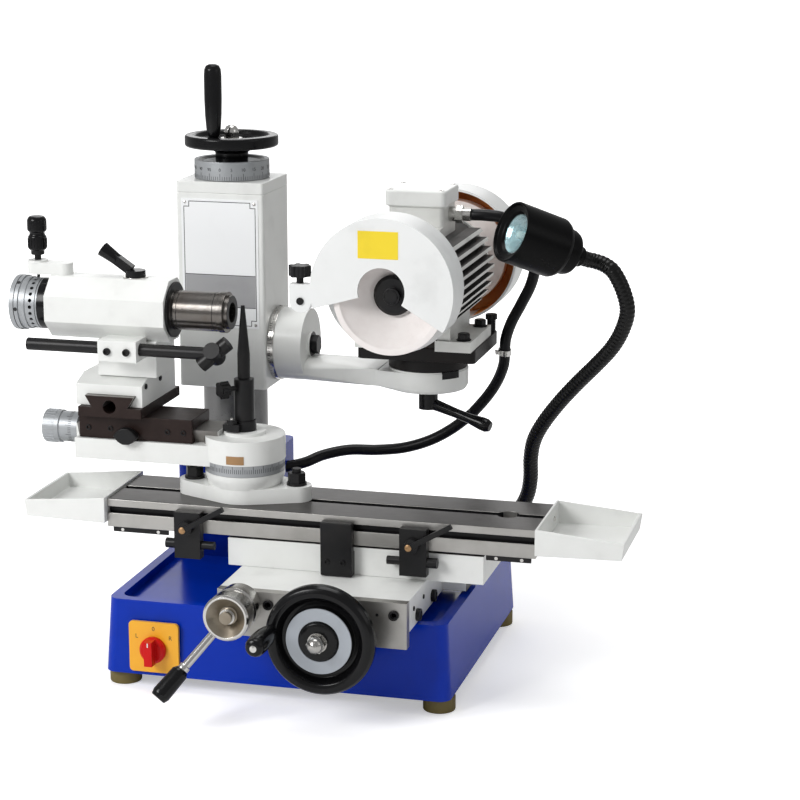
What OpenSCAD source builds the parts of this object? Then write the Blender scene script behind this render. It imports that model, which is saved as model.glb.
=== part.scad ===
// Bench universal tool and cutter grinder. Millimetres, +Z up, +X along the table, -Y towards
// the operator. The origin is the centre of the foot bolt pattern, on the bench.

/* [Base] */
// Width of the base casting along the table
base_w = 422; // [414:1:436]
// Depth of the base casting
base_d = 368; // [362:1:376]
// Height of the base casting, feet not counted
base_h = 90; // [80:1:110]
// Wall of the base casting
base_wall = 12; // [8:1:16]
// How far the sides lean in from the bottom to the top
base_draft = 5; // [0:0.5:8]
// Radius of the base's upright corners
base_corner = 14; // [8:1:20]
// Width of the rim round the top basin
basin_rim = 12; // [8:1:18]
// Depth of the top basin
basin_depth = 10; // [6:1:10]
// Height of a foot
foot_h = 18; // [14:1:26]
// Diameter of a foot
foot_d = 38; // [32:1:44]
// Distance of the foot bolts in from the base's ends
foot_inset_x = 17.5; // [15:0.5:30]
// Distance of the foot bolts in from the base's front and back
foot_inset_y = 26; // [18:1:36]
// Diameter of the foot bolt holes
bolt_d = 11; // [8:0.5:13]
// Width of the pedestal under the column
pedestal_w = 122; // [114:1:130]
// Depth of the pedestal
pedestal_d = 116; // [110:1:124]
// Height of the pedestal's top above the bench
pedestal_top = 232; // [225:1:240]

/* [Column] */
// Column axis in from the base's left end
column_inset_x = 74; // [72:1:77]
// Column axis in from the base's back
column_inset_y = 85; // [82:1:87]
// Diameter of the column
post_d = 81; // [70:1:84]
// Top of the column above the bench
post_top = 470; // [455:1:475]
// Bore of the column
post_bore_d = 44; // [40:1:50]
// Width of the sliding head
head_w = 113; // [108:1:116]
// Depth of the sliding head
head_d = 100; // [98:1:104]
// Underside of the sliding head above the bench
head_bottom = 316; // [314:1:320]
// Height of the sliding head with its cap
head_h = 258; // [250:1:264]
// Height of the head's cap
cap_h = 14; // [12:1:20]
// Diameter of the elevation screw
lift_screw_d = 24; // [20:1:28]
// Diameter of the elevation dial
lift_dial_d = 93; // [84:1:100]
// Height of the elevation dial
lift_dial_h = 23; // [18:1:28]
// Diameter of the elevation handwheel
lift_wheel_d = 116; // [100:1:124]
// Length of the handwheel's upright grip
lift_grip_len = 96; // [80:1:110]

/* [Cross slide] */
// Left end of the cross slide
slide_x0 = -52; // [-56:1:-50]
// Right end of the cross slide
slide_x1 = 172; // [160:1:184]
// Back end of the cross slide
slide_y1 = 10; // [0:1:20]
// Front face of the apron
apron_y = -226; // [-232:1:-220]
// Thickness of the apron
apron_t = 12; // [8:1:14]
// Lower edge of the apron
apron_z0 = 93; // [90:1:96]
// Top of the cross slide
slide_top = 147; // [145:1:150]
// Left end of the saddle
saddle_x0 = -69; // [-74:1:-62]
// Right end of the saddle
saddle_x1 = 240; // [230:1:250]
// Height of the saddle
saddle_h = 34; // [33:1:35]
// Width of the ways that carry the cross slide
way_w = 120; // [110:1:130]
// Diameter of the cross-feed handwheel
cross_wheel_d = 128; // [120:1:132]
// Cross-feed screw axis along X
cross_x = 82; // [78:1:86]
// Cross-feed screw axis above the bench
cross_z = 110; // [108:1:113]
// Diameter of the cross-feed screw
cross_screw_d = 16; // [14:1:18]

/* [Table feed] */
// Module of the rack and pinion
gear_module = 2; // [2:0.5:2]
// Teeth of the pinion
pinion_teeth = 28; // [28:1:28]
// Pinion axis along X
pinion_x = -24; // [-26:1:-22]
// Pinion axis above the bench
pinion_z = 131; // [130:1:132]
// Face width of the pinion
pinion_w = 10; // [8:1:11]
// Diameter of the lever's hub
hub_d = 54; // [46:1:56]
// Length of the lever's hub in front of the apron
hub_len = 54; // [44:1:60]
// Length of the lever from the hub's axis
lever_len = 128; // [110:1:134]

/* [Table] */
// Length of the table
table_len = 520; // [480:1:560]
// Width of the table
table_w = 113; // [108:1:118]
// Thickness of the table
table_t = 34; // [32:1:38]
// Middle of the table along X
table_x = 41; // [36:1:46]
// Middle of the table along Y
table_y = -83.5; // [-85:0.5:-82]
// Width of the T-slot's mouth
slot_w = 12; // [10:1:14]
// Width of the T-slot's foot
slot_foot_w = 20; // [18:1:22]
// Depth of the T-slot
slot_depth = 15; // [12:1:16]
// Length of a chip tray
tray_len = 100; // [80:1:120]
// Width of a chip tray
tray_w = 130; // [120:1:140]
// Wall of a chip tray
tray_wall = 3; // [2:0.5:4]

/* [Wheelhead] */
// Tilt axis of the arm above the bench
arm_z = 367; // [365:1:369]
// Diameter of the arm's barrel
barrel_d = 90; // [84:1:94]
// Swivel axis of the motor along X
swivel_x = 115; // [110:1:120]
// Radius of the arm's round end
arm_end_r = 50; // [44:1:54]
// Top of the arm's round end above the bench
arm_end_top = 349; // [347:1:351]
// Thickness of the arm's round end
arm_end_t = 27; // [26:1:34]
// Width of the motor's swivel plate
plate_w = 147; // [136:1:152]
// Depth of the motor's swivel plate
plate_d = 130; // [120:1:140]
// Top of the swivel plate above the bench
plate_top = 384; // [380:1:386]
// Thickness of the square swivel plate
plate_t = 17; // [14:1:20]
// Grinding spindle axis above the bench
spindle_z = 467; // [464:1:470]
// Radius of the motor over its fins
motor_r = 69; // [66:1:72]
// Front end of the finned motor frame
motor_y0 = -14; // [-18:1:-10]
// Back end of the finned motor frame
motor_y1 = 162; // [156:1:168]
// Depth of a motor end bell
bell_t = 20; // [16:1:22]
// Diameter of the motor shaft
shaft_d = 24; // [20:1:26]
// Outer diameter of a wheel guard
guard_d = 171; // [168:1:176]
// Depth of the front wheel guard
guard_depth = 54; // [50:1:56]
// Wall of the wheel guards
guard_wall = 3; // [2:0.5:4]
// Diameter of the rear grinding wheel
rear_wheel_d = 136; // [120:1:152]
// Diameter of the cup wheel
cup_d = 134; // [120:1:136]
// Height of the cup wheel
cup_h = 40; // [34:1:42]

/* [Workhead] */
// Swivel axis of the workhead along X
swing_x = -64; // [-66:1:-62]
// Radius of the workhead's swivel
swing_r = 48.5; // [46:0.5:50]
// Height of the swivel's foot
swing_foot_h = 34; // [32:1:36]
// Height of the graduated ring
swing_ring_h = 14; // [12:1:16]
// Left end of the swing arm
swing_arm_x0 = -267; // [-272:1:-260]
// Width of the swing arm
swing_arm_w = 70; // [64:1:76]
// Thickness of the swing arm
swing_arm_t = 25; // [22:1:27]
// Work spindle axis above the bench
work_z = 440; // [438:1:442]
// Width across flats of the spindle housing
house_w = 73; // [70:1:76]
// Left end of the spindle housing
house_x0 = -300; // [-302:1:-298]
// Right end of the spindle housing
house_x1 = -150; // [-154:1:-148]
// Diameter of the work spindle's nose
nose_d = 47; // [44:1:48]
// Diameter of the hole through the work spindle
collet_d = 24; // [20:1:28]
// Diameter of the tooth-rest rod
rod_d = 15; // [12:1:16]

/* [Lamp] */
// Diameter of the gooseneck
neck_d = 19; // [16:1:20]
// Diameter of the lamp shade
shade_d = 72; // [66:1:76]
// Length of the lamp shade
shade_len = 100; // [88:1:104]

/* [Hidden] */
$fn = 64;
gap = 0.2;          // between sliding faces
run = 0.05;         // radial running clearance
seat = 0.3;         // between faces of two pieces that only rest near each other
cut = 1;            // how far a cutter runs past a face
bolt_x = base_w - 2 * foot_inset_x;
bolt_y = base_d - 2 * foot_inset_y;
column_x = -base_w / 2 + column_inset_x;
column_y = base_d / 2 - column_inset_y;
base_z1 = foot_h + base_h;
basin_z = base_z1 - basin_depth;
post_r = post_d / 2;
head_x0 = column_x - head_w / 2;
head_x1 = column_x + head_w / 2;
head_y0 = column_y - head_d / 2;
head_top = head_bottom + head_h;
cap_z = head_top - cap_h;
dial_z = head_top + 0.5;
lift_wheel_z = dial_z + lift_dial_h + 16;
lift_wheel_h = 14;
journal_r = 9;
nut_len = 30;
nut_z = post_top - nut_len;
slide_z = base_z1 + 2;
slide_y0 = apron_y + apron_t;
way_top = slide_z + 14;
saddle_y0 = table_y - table_w / 2 + 3;
saddle_y1 = table_y + table_w / 2 - 3;
saddle_top = slide_top + saddle_h;
table_z0 = saddle_top + 3;
table_z1 = table_z0 + table_t;
table_x0 = table_x - table_len / 2;
table_x1 = table_x + table_len / 2;
table_y0 = table_y - table_w / 2;
table_y1 = table_y + table_w / 2;
tongue_w = 56;
tongue_h = 11;
pinion_r = gear_module * pinion_teeth / 2;
rack_z = pinion_z + pinion_r;
pinion_y = table_y + table_w / 2 - 20;
front_groove_z = table_z1 - 17;
front_groove_h = 8;
front_groove_d = 8;
arm_x0 = head_x1 + 0.5;
scale_t = 8;
barrel_x1 = arm_x0 + scale_t + 35;
pivot_r = 15;
pin_r = 12;
pin_depth = 12;
plate_z0 = plate_top - plate_t;
motor_y = (motor_y0 + motor_y1) / 2;
bell_y0 = motor_y0 - bell_t;
bell_y1 = motor_y1 + bell_t;
spigot_r = 40;
spigot_len = 12;
guard_r = guard_d / 2;
guard_x = swivel_x - 8;
guard_z = spindle_z + 8;
guard_y0 = -95;
guard_y1 = guard_y0 + guard_depth;
rear_y1 = 270;
rear_depth = 55;
rear_wheel_y = 250;
guard_open = [196, 329];    // angles between which the front guard is open
cup_r = cup_d / 2;
cup_y0 = guard_y0 + 5;
cup_y1 = cup_y0 + cup_h;
foot_z1 = table_z1 + swing_foot_h;
ring_z1 = foot_z1 + swing_ring_h;
swing_top = ring_z1 + 29;
swing_arm_z1 = swing_top - 10;
swing_arm_z0 = swing_arm_z1 - swing_arm_t;
lower_z1 = swing_arm_z1 + 29;
way_block_z1 = lower_z1 + 12;
dovetail_z1 = way_block_z1 + 14;
bracket_x0 = -263;
bracket_x1 = -179;
bracket_z1 = 361;
work_y = table_y;
house_r = house_w / 2;
spindle_r = 22;
rod_y = -124;
rod_z = 398;
// Route of the motor's cable, from its gland down past the swivel plate to the pedestal
cable_d = 14;
cable_clip = [201, 148, 360];
cable_drop = [-2, 3, -18];
cable_upper = [[172.3, 83, 541], [190, 83, 541], [211, 87, 538], [231, 96, 525], [243, 106, 504],
    [245, 116, 480], [238, 126, 452], [224, 134, 424], [211, 140, 400], cable_clip - cable_drop,
    cable_clip];
cable_hole = [column_x + pedestal_w / 2, column_y + 20, 200];
cable_lower = [cable_clip + seat * cable_drop / norm(cable_drop), cable_clip + cable_drop,
    [190, 158, 320], [176, 163, 298], [156, 167, 274], [130, 169, 252], [100, 170, 234],
    [66, 170, 222], [30, 168, 217], [-6, 163, 216], [-36, 148, 211], [-56, 131, 204],
    cable_hole - [6, 2, 1]];
// Route of the gooseneck, from its foot on the base up to the lamp
neck_foot = [base_w / 2 - 39, base_d / 2 - 34, basin_z];
lamp_aim = [-72, -60, 37];
lamp_back = neck_foot + [146, -130, 408];
neck_run = [[0, 0, 0], [6, 0, 18], [26, -4, 38], [50, -12, 60], [64, -22, 84],
    [70, -32, 110], [72, -42, 138], [78, -52, 164], [92, -62, 190], [114, -74, 220],
    [138, -86, 248], [162, -98, 274], [182, -108, 298], [195, -116, 322], [201, -122, 346],
    [196, -126, 370], [185, -127, 391], [173, -123, 399], [161, -121.5, 402.5]];
neck_path = concat([for (p = neck_run) neck_foot + p],
    [lamp_back - 9 * lamp_aim / norm(lamp_aim), lamp_back]);

// ---- shared shapes ---------------------------------------------------------------------

// Flat rounded rectangle, extruded upwards from z0 to z1
module slab(x0, x1, y0, y1, z0, z1, r) {
    translate([0, 0, z0]) linear_extrude(z1 - z0) union() {
        translate([x0 + r, y0]) square([x1 - x0 - 2 * r, y1 - y0]);
        translate([x0, y0 + r]) square([x1 - x0, y1 - y0 - 2 * r]);
        for (x = [x0 + r, x1 - r], y = [y0 + r, y1 - r]) translate([x, y]) circle(r);
    }
}
// Box between two corners
module block(x0, x1, y0, y1, z0, z1) {
    translate([x0, y0, z0]) cube([x1 - x0, y1 - y0, z1 - z0]);
}
// Cylinders along each axis, from one coordinate to the next
module rod_x(r, x0, x1, y, z) { translate([x0, y, z]) rotate([0, 90, 0]) cylinder(r = r, h = x1 - x0); }
module rod_y(r, y0, y1, x, z) { translate([x, y1, z]) rotate([90, 0, 0]) cylinder(r = r, h = y1 - y0); }
module rod_z(r, z0, z1, x, y) { translate([x, y, z0]) cylinder(r = r, h = z1 - z0); }
// Ring of revolution about Z from a profile of [radius, height]
module turned(profile) { rotate_extrude($fn = 96) polygon(profile); }

function unit(v) = v / norm(v);
function tangent(p, i) = unit(p[min(i + 1, len(p) - 1)] - p[max(i - 1, 0)]);
function side(t) = unit(cross(t, abs(t[2]) > 0.9 ? [0, 1, 0] : [0, 0, 1]));
// Points of one ring of a tube round point i of a route
function ring(p, i, r, n) = let (t = tangent(p, i), u = side(t), w = cross(u, t))
    [for (k = [0:n - 1]) p[i] + r * (cos(360 * k / n) * u + sin(360 * k / n) * w)];
// Tube of n sides along a route
module tube(p, r, n) {
    m = len(p);
    polyhedron(
        points = [for (i = [0:m - 1]) each ring(p, i, r, n)],
        faces = concat(
            [[for (k = [0:n - 1]) k]],
            [for (i = [0:m - 2], k = [0:n - 1])
                [i * n + k, (i + 1) * n + k, (i + 1) * n + (k + 1) % n, i * n + (k + 1) % n]],
            [[for (k = [n - 1:-1:0]) (m - 1) * n + k]]));
}
// Toothed disc about Z
module gear(teeth, m, h) {
    r = m * teeth / 2;
    step = 360 / teeth;
    linear_extrude(h) polygon([for (i = [0:teeth - 1], s = [[r - 1.2 * m, -0.31], [r + 0.85 * m, -0.11],
        [r + 0.85 * m, 0.11], [r - 1.2 * m, 0.31]])
        s[0] * [cos((i + s[1]) * step), sin((i + s[1]) * step)]]);
}

// ---- base ------------------------------------------------------------------------------

module at_feet() for (x = [-1, 1], y = [-1, 1]) translate([x * bolt_x / 2, y * bolt_y / 2, 0]) children();

module base_outline(inset, z0, h) {
    slab(-base_w / 2 + inset, base_w / 2 - inset, -base_d / 2 + inset, base_d / 2 - inset,
        z0, z0 + h, base_corner);
}
// Hole in the pedestal that the cable's end runs into
module cable_entry() {
    m = len(cable_lower);
    along = unit(cable_lower[m - 1] - cable_lower[m - 2]);
    tube([cable_lower[m - 1] - 14 * along, cable_lower[m - 1], cable_lower[m - 1] + 12 * along],
        cable_d / 2 + 0.6, 20);
}
module base_casting() color([0.05, 0.16, 0.62]) {
    p = [pedestal_w / 2, pedestal_d / 2];
    difference() {
        union() {
            hull() {
                base_outline(0, foot_h, 0.5, $fn = 32);
                base_outline(base_draft, base_z1 - 0.5, 0.5, $fn = 32);
            }
            slab(column_x - p[0], column_x + p[0], column_y - p[1], column_y + p[1],
                base_z1 - 1, pedestal_top, 12);
        }
        difference() {
            slab(-base_w / 2 + basin_rim + base_draft, base_w / 2 - basin_rim - base_draft,
                -base_d / 2 + basin_rim + base_draft, base_d / 2 - basin_rim - base_draft,
                basin_z, base_z1 + cut, base_corner);
            slab(column_x - p[0], column_x + p[0], column_y - p[1], column_y + p[1],
                basin_z - cut, pedestal_top, 12);
        }
        difference() {
            block(-base_w / 2 + base_wall + base_draft, base_w / 2 - base_wall - base_draft,
                -base_d / 2 + base_wall + base_draft, base_d / 2 - base_wall - base_draft,
                foot_h - cut, basin_z - base_wall);
            at_feet() rod_z(foot_d / 2 + 4, 0, base_z1, 0, 0);
        }
        block(column_x - p[0] + base_wall, column_x + p[0] - base_wall,
            column_y - p[1] + base_wall, column_y + p[1] - base_wall,
            basin_z - base_wall - cut, pedestal_top - base_wall);
        at_feet() rod_z(bolt_d / 2, 0, basin_z - base_wall + cut, 0, 0);
        at_feet() rod_z(bolt_d, foot_h + 20, basin_z - base_wall / 2, 0, 0);
        rod_y(cross_screw_d / 2 + 1.5, -base_d / 2, -base_d / 2 + 40, cross_x, cross_z);
        cable_entry();
    }
}
module base_feet() color([0.45, 0.40, 0.14]) at_feet() difference() {
    rod_z(foot_d / 2, 0, foot_h, 0, 0);
    rod_z(bolt_d / 2, -cut, foot_h + cut, 0, 0);
}
module cross_ways() color([0.45, 0.45, 0.44]) {
    hw = way_w / 2;
    translate([cross_x, 0, 0]) difference() {
        translate([0, base_d / 2 - 34, 0]) rotate([90, 0, 0]) linear_extrude(base_d - 68)
            polygon([[-hw + 6, basin_z], [hw - 6, basin_z], [hw - 6, slide_z + 1], [hw, way_top],
                [-hw, way_top], [-hw + 6, slide_z + 1]]);
        rod_y(cross_screw_d / 2 + 3, -base_d / 2, -60, 0, cross_z);
        rod_y(cross_screw_d / 2 + run, -base_d / 2, base_d / 2, 0, cross_z);
        rod_y(cross_screw_d / 2 + 3, -30, base_d / 2, 0, cross_z);
    }
}
module column_post() color([0.78, 0.79, 0.80]) difference() {
    rod_z(post_r, pedestal_top, post_top, column_x, column_y);
    rod_z(post_bore_d / 2, pedestal_top - cut, post_top + cut, column_x, column_y);
}
module elevation_nut() color([0.72, 0.53, 0.25]) difference() {
    union() {
        rod_z(post_bore_d / 2 - 0.3, nut_z, post_top, column_x, column_y);
        rod_z(post_bore_d / 2 + 8, post_top, post_top + 6, column_x, column_y);
    }
    rod_z(lift_screw_d / 2 + run, nut_z - cut, post_top + 6 + cut, column_x, column_y);
}
switch_x = -base_w / 2 + 65;
switch_z = 54;
switch_w = 62;
base_front = -base_d / 2;
module switch_plate() color([0.95, 0.72, 0.16]) difference() {
    translate([switch_x, base_front, switch_z]) rotate([90, 0, 0])
        slab(-switch_w / 2, switch_w / 2, -switch_w / 2, switch_w / 2, -1, 4, 5);
    hull() {
        base_outline(0, foot_h, 0.5, $fn = 32);
        base_outline(base_draft, base_z1 - 0.5, 0.5, $fn = 32);
    }
    rod_y(6 + run, base_front - 10, base_front + 5, switch_x, switch_z - 2);
}
module switch_knob() color([0.85, 0.08, 0.10]) {
    y = base_front - 4;
    translate([switch_x, y - 0.3, switch_z - 2]) rotate([90, 0, 0]) {
        turned([[0, 0], [16, 0], [16, 5], [13, 8], [0, 8]]);
        translate([-5, -15, 7]) cube([10, 30, 13]);
    }
    rod_y(6, y - 0.4, y + 2.5, switch_x, switch_z - 2);
}
module lamp_gooseneck() color([0.06, 0.06, 0.07]) difference() {
    union() {
        tube(neck_path, neck_d / 2, 12);
        rod_z(neck_d / 2 + 6, basin_z, basin_z + 8, neck_path[0][0], neck_path[0][1]);
    }
    block(neck_foot[0] - 30, neck_foot[0] + 30, neck_foot[1] - 30, neck_foot[1] + 30, basin_z - 20, basin_z);
}
// Turns +Z onto the way the lamp points and moves it to the lamp's back end
module at_lamp() {
    a = unit(lamp_aim);
    translate(lamp_back) rotate([0, acos(a[2]), atan2(a[1], a[0])]) children();
}
module lamp_shade() color([0.05, 0.05, 0.06]) difference() {
    r = shade_d / 2;
    at_lamp() turned([[0, 0.3], [12, 0.3], [12, 8], [r * 0.72, 16], [r * 0.76, 30], [r, 34],
        [r, shade_len], [r - 4, shade_len], [r - 9, shade_len - 40], [14, shade_len - 62],
        [0, shade_len - 62]]);
    at_lamp() rod_z(3, shade_len - 63, shade_len - 62, 0, 0);
}
module motor_cable_lower() color([0.05, 0.05, 0.05]) tube(cable_lower, cable_d / 2, 10);

// ---- sliding head ----------------------------------------------------------------------

module head_housing() color([0.93, 0.94, 0.93]) difference() {
    slab(head_x0, head_x1, head_y0, head_y0 + head_d, head_bottom, cap_z, 4);
    rod_z(post_r + run, head_bottom - cut, cap_z + cut, column_x, column_y);
    rod_x(pivot_r + run, head_x1 - 13, head_x1 + cut, column_y, arm_z);
}
module head_cap() color([0.93, 0.94, 0.93]) difference() {
    slab(head_x0, head_x1, head_y0, head_y0 + head_d, cap_z, head_top, 4);
    rod_z(journal_r + run, cap_z - cut, head_top + cut, column_x, column_y);
}
module elevation_screw() color([0.7, 0.7, 0.72]) {
    rod_z(lift_screw_d / 2, head_bottom + 4, cap_z - 0.3, column_x, column_y);
    rod_z(journal_r, cap_z - 1, lift_wheel_z + 8, column_x, column_y);
}
module elevation_dial() color([0.62, 0.65, 0.68]) translate([column_x, column_y, dial_z])
    turned([[journal_r, 0], [lift_dial_d / 2, 0], [lift_dial_d / 2, lift_dial_h],
        [lift_dial_d / 2 - 4, lift_dial_h], [24, lift_dial_h - 8], [journal_r, lift_dial_h - 8]]);
module elevation_handwheel() color([0.06, 0.06, 0.06]) {
    r = lift_wheel_d / 2;
    grip = lift_grip_at();
    difference() {
        translate([column_x, column_y, lift_wheel_z]) turned([[journal_r, -23], [20, -23], [20, -6],
            [r - 14, 1], [r - 6, 0], [r, 3], [r, lift_wheel_h - 2], [r - 3, lift_wheel_h],
            [r - 16, lift_wheel_h], [r - 18, 6], [20, 4], [20, 8], [journal_r, 8]]);
        rod_z(4 + run, lift_wheel_z - 20, lift_wheel_z + 30, grip[0], grip[1]);
    }
    translate([column_x, column_y, lift_wheel_z + 8]) {
        cylinder(r = 13, h = 8, $fn = 6);
        translate([0, 0, 8]) cylinder(r1 = 8, r2 = 5, h = 8);
    }
}
function lift_grip_at() = [column_x - 12, column_y - 32];
module elevation_grip() color([0.04, 0.04, 0.04]) {
    grip = lift_grip_at();
    rod_z(4, lift_wheel_z + 2, lift_wheel_z + 9, grip[0], grip[1]);
    translate([grip[0], grip[1], lift_wheel_z + 6.4]) turned([[0, 0], [5, 0], [6, 8], [9, 16],
        [10.8, lift_grip_len - 30], [10.8, lift_grip_len - 3], [8, lift_grip_len],
        [0, lift_grip_len]]);
}

// ---- wheelhead arm ---------------------------------------------------------------------

arm_end_z0 = arm_end_top - arm_end_t;
module wheelhead_arm() color([0.92, 0.93, 0.92]) difference() {
    x1 = arm_x0 + scale_t;
    union() {
        rod_x(barrel_d / 2, x1, barrel_x1, column_y, arm_z);
        hull() {
            translate([x1 + 4, column_y, arm_z - barrel_d / 2 + 16.5]) rotate([0, 90, 0])
                scale([0.47, 1, 1]) cylinder(r = 32, h = barrel_x1 - x1 - 8, $fn = 40);
            block(swivel_x - 60, swivel_x - 56, column_y - 33, column_y + 33,
                arm_end_z0 + 4, arm_end_top - 2);
        }
        hull() {
            block(swivel_x - 62, swivel_x - 58, column_y - 32, column_y + 32,
                arm_end_z0 + 5, arm_end_top - 3);
            translate([swivel_x, column_y, arm_end_z0]) cylinder(r = arm_end_r - 3, h = 1, $fn = 48);
            translate([swivel_x, column_y, arm_end_z0 + 5])
                cylinder(r = arm_end_r, h = arm_end_t - 7, $fn = 48);
        }
        rod_z(arm_end_r - 1, arm_end_z0 + 8, arm_end_top, swivel_x, column_y);
        rod_x(pivot_r, arm_x0 - 12, x1 + 1, column_y, arm_z);
        rod_x(16, barrel_x1 - 1, barrel_x1 + 3, column_y, arm_z);
        translate([barrel_x1 + 2, column_y, arm_z]) rotate([0, 90, 0]) cylinder(r = 12, h = 9, $fn = 6);
    }
    rod_z(pin_r + run, arm_end_top - pin_depth - 2, arm_end_top + cut, swivel_x, column_y);
    rod_z(8 + run, arm_end_z0 - cut, arm_end_z0 + 10, swivel_x, column_y);
}
module arm_scale_ring() color([0.32, 0.33, 0.34]) difference() {
    rod_x(barrel_d / 2 + 1.5, arm_x0, arm_x0 + scale_t, column_y, arm_z);
    rod_x(pivot_r + 0.3, arm_x0 - cut, arm_x0 + scale_t + cut, column_y, arm_z);
}
module arm_clamp_lever() color([0.05, 0.05, 0.05]) {
    top = arm_end_z0 - 0.3;
    rod_z(8, top - 1, top + 9, swivel_x, column_y);
    rod_z(12, top - 28, top, swivel_x, column_y);
    translate([swivel_x, column_y, top - 20]) rotate([0, 105, -12]) {
        turned([[0, 0], [8.5, 0], [7, 14], [6, 40], [6.2, 58], [8.4, 76], [8.4, 83], [6, 88], [0, 88]]);
    }
}

// ---- motor and grinding spindle --------------------------------------------------------

module motor_plate() color([0.06, 0.06, 0.06]) {
    c = [swivel_x, column_y];
    slab(c[0] - plate_w / 2, c[0] + plate_w / 2, c[1] - plate_d / 2, c[1] + plate_d / 2,
        plate_z0, plate_top, 6);
    rod_z(arm_end_r - 1, arm_end_top + 0.3, plate_z0, c[0], c[1]);
    rod_z(pin_r, arm_end_top - pin_depth, arm_end_top + 1, c[0], c[1]);
}
motor_core = 58;
module motor_frame() color([0.80, 0.82, 0.82]) difference() {
    depth = motor_y1 - motor_y0;
    union() {
        rod_y(motor_core, motor_y0, motor_y1, swivel_x, spindle_z);
        intersection() {
            rod_y(motor_r, motor_y0, motor_y1, swivel_x, spindle_z);
            union() for (k = [-4:4])
                block(swivel_x - motor_r, swivel_x + motor_r, motor_y0 + 2, motor_y1 - 2,
                    spindle_z + 11 * k - 1.8, spindle_z + 11 * k + 1.8);
        }
        for (s = [-1, 1]) {
            block(swivel_x + s * 50 - 22, swivel_x + s * 50 + 22, motor_y - 56, motor_y + 56,
                plate_top, plate_top + 13);
            block(swivel_x + s * 38 - 8, swivel_x + s * 38 + 8, motor_y - 52, motor_y + 52,
                plate_top, spindle_z - 40);
        }
        block(swivel_x - 30, swivel_x + 30, motor_y - 38, motor_y + 38,
            spindle_z + 40, spindle_z + motor_core + 4);
    }
    rod_y(motor_core - 8, motor_y0 - cut, motor_y1 + cut, swivel_x, spindle_z);
}
module motor_end_bells() color([0.74, 0.76, 0.77]) for (s = [0, 1])
    translate([swivel_x, s ? motor_y1 : motor_y0, spindle_z]) rotate([s ? -90 : 90, 0, 0])
        turned([[shaft_d / 2 + run, -10], [motor_core - 8.3, -10], [motor_core - 8.3, 0], [motor_core + 3, 0],
            [motor_core + 3, 6], [spigot_r + 3, bell_t - 4], [spigot_r, bell_t - 4],
            [spigot_r, bell_t + spigot_len], [shaft_d / 2 + run, bell_t + spigot_len]]);
box_x = swivel_x - 4;
box_y = motor_y + 8;
box_z0 = spindle_z + motor_core + 4;
module terminal_box() color([0.88, 0.90, 0.89]) difference() {
    slab(box_x - 34, box_x + 34, box_y - 32, box_y + 32, box_z0, box_z0 + 24, 5);
    slab(box_x - 30, box_x + 30, box_y - 28, box_y + 28, box_z0 + 4, box_z0 + 25, 3);
    rod_x(7.5, box_x + 29, box_x + 35, cable_upper[0][1], cable_upper[0][2]);
}
module terminal_cover() color([0.90, 0.92, 0.91])
    slab(box_x - 38, box_x + 38, box_y - 36, box_y + 36, box_z0 + 24, box_z0 + 44, 7);
gland_z = cable_upper[0][2];
module cable_gland() color([0.75, 0.77, 0.78]) {
    x = box_x + 34;
    rod_x(9, x, x + 8, cable_upper[0][1], gland_z);
    translate([x + 8, cable_upper[0][1], gland_z]) rotate([0, 90, 0]) cylinder(r = 11, h = 9, $fn = 6);
    rod_x(8, x + 17, cable_upper[0][0] - seat, cable_upper[0][1], gland_z);
}
module motor_cable_upper() color([0.05, 0.05, 0.05]) tube(cable_upper, cable_d / 2, 10);
// Sector of a circle between two angles, counter-clockwise
module sector(r, a0, a1) polygon(concat([[0, 0]], [for (i = [0:6]) let (a = a0 + (a1 - a0) * i / 6)
    r * [cos(a), sin(a)]]));
// Places flat work so that it stands in the XZ plane with its face towards -Y
module upright(y) { translate([0, y, 0]) rotate([90, 0, 0]) children(); }
module front_guard() color([0.94, 0.95, 0.94]) difference() {
    union() {
        upright(guard_y1) translate([guard_x, guard_z, 0]) linear_extrude(guard_depth) difference() {
            circle(guard_r);
            circle(guard_r - guard_wall);
            sector(guard_d, guard_open[0], guard_open[1]);
        }
        upright(guard_y0 + 4) translate([guard_x, guard_z, 0]) linear_extrude(4) difference() {
            circle(guard_r - guard_wall);
            circle(28);
            sector(guard_d, guard_open[0], guard_open[1]);
        }
        upright(guard_y1) linear_extrude(5) difference() {
            translate([guard_x, guard_z]) circle(guard_r - guard_wall);
            translate([swivel_x, spindle_z]) circle(spigot_r + run);
        }
        upright(guard_y0 + 14) linear_extrude(14) union() {
            translate([10, guard_z - 15]) circle(13.5);
            translate([-3.5, guard_z - 15]) square([25.5, 20]);
        }
        translate([8, guard_y0 + 7, guard_z + 5]) {
            cylinder(r = 4, h = 8);
            translate([0, 0, 8]) cylinder(r = 11, h = 13);
        }
    }
    rod_y(3, guard_y0 - cut, guard_y0 + 6, 10, guard_z - 15);
}
module motor_shaft() color([0.72, 0.73, 0.75]) {
    rod_y(shaft_d / 2, cup_y0 + 20, 256, swivel_x, spindle_z);
    rod_y(motor_core - 18, motor_y0 + 14, motor_y1 - 14, swivel_x, spindle_z);
}
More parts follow.
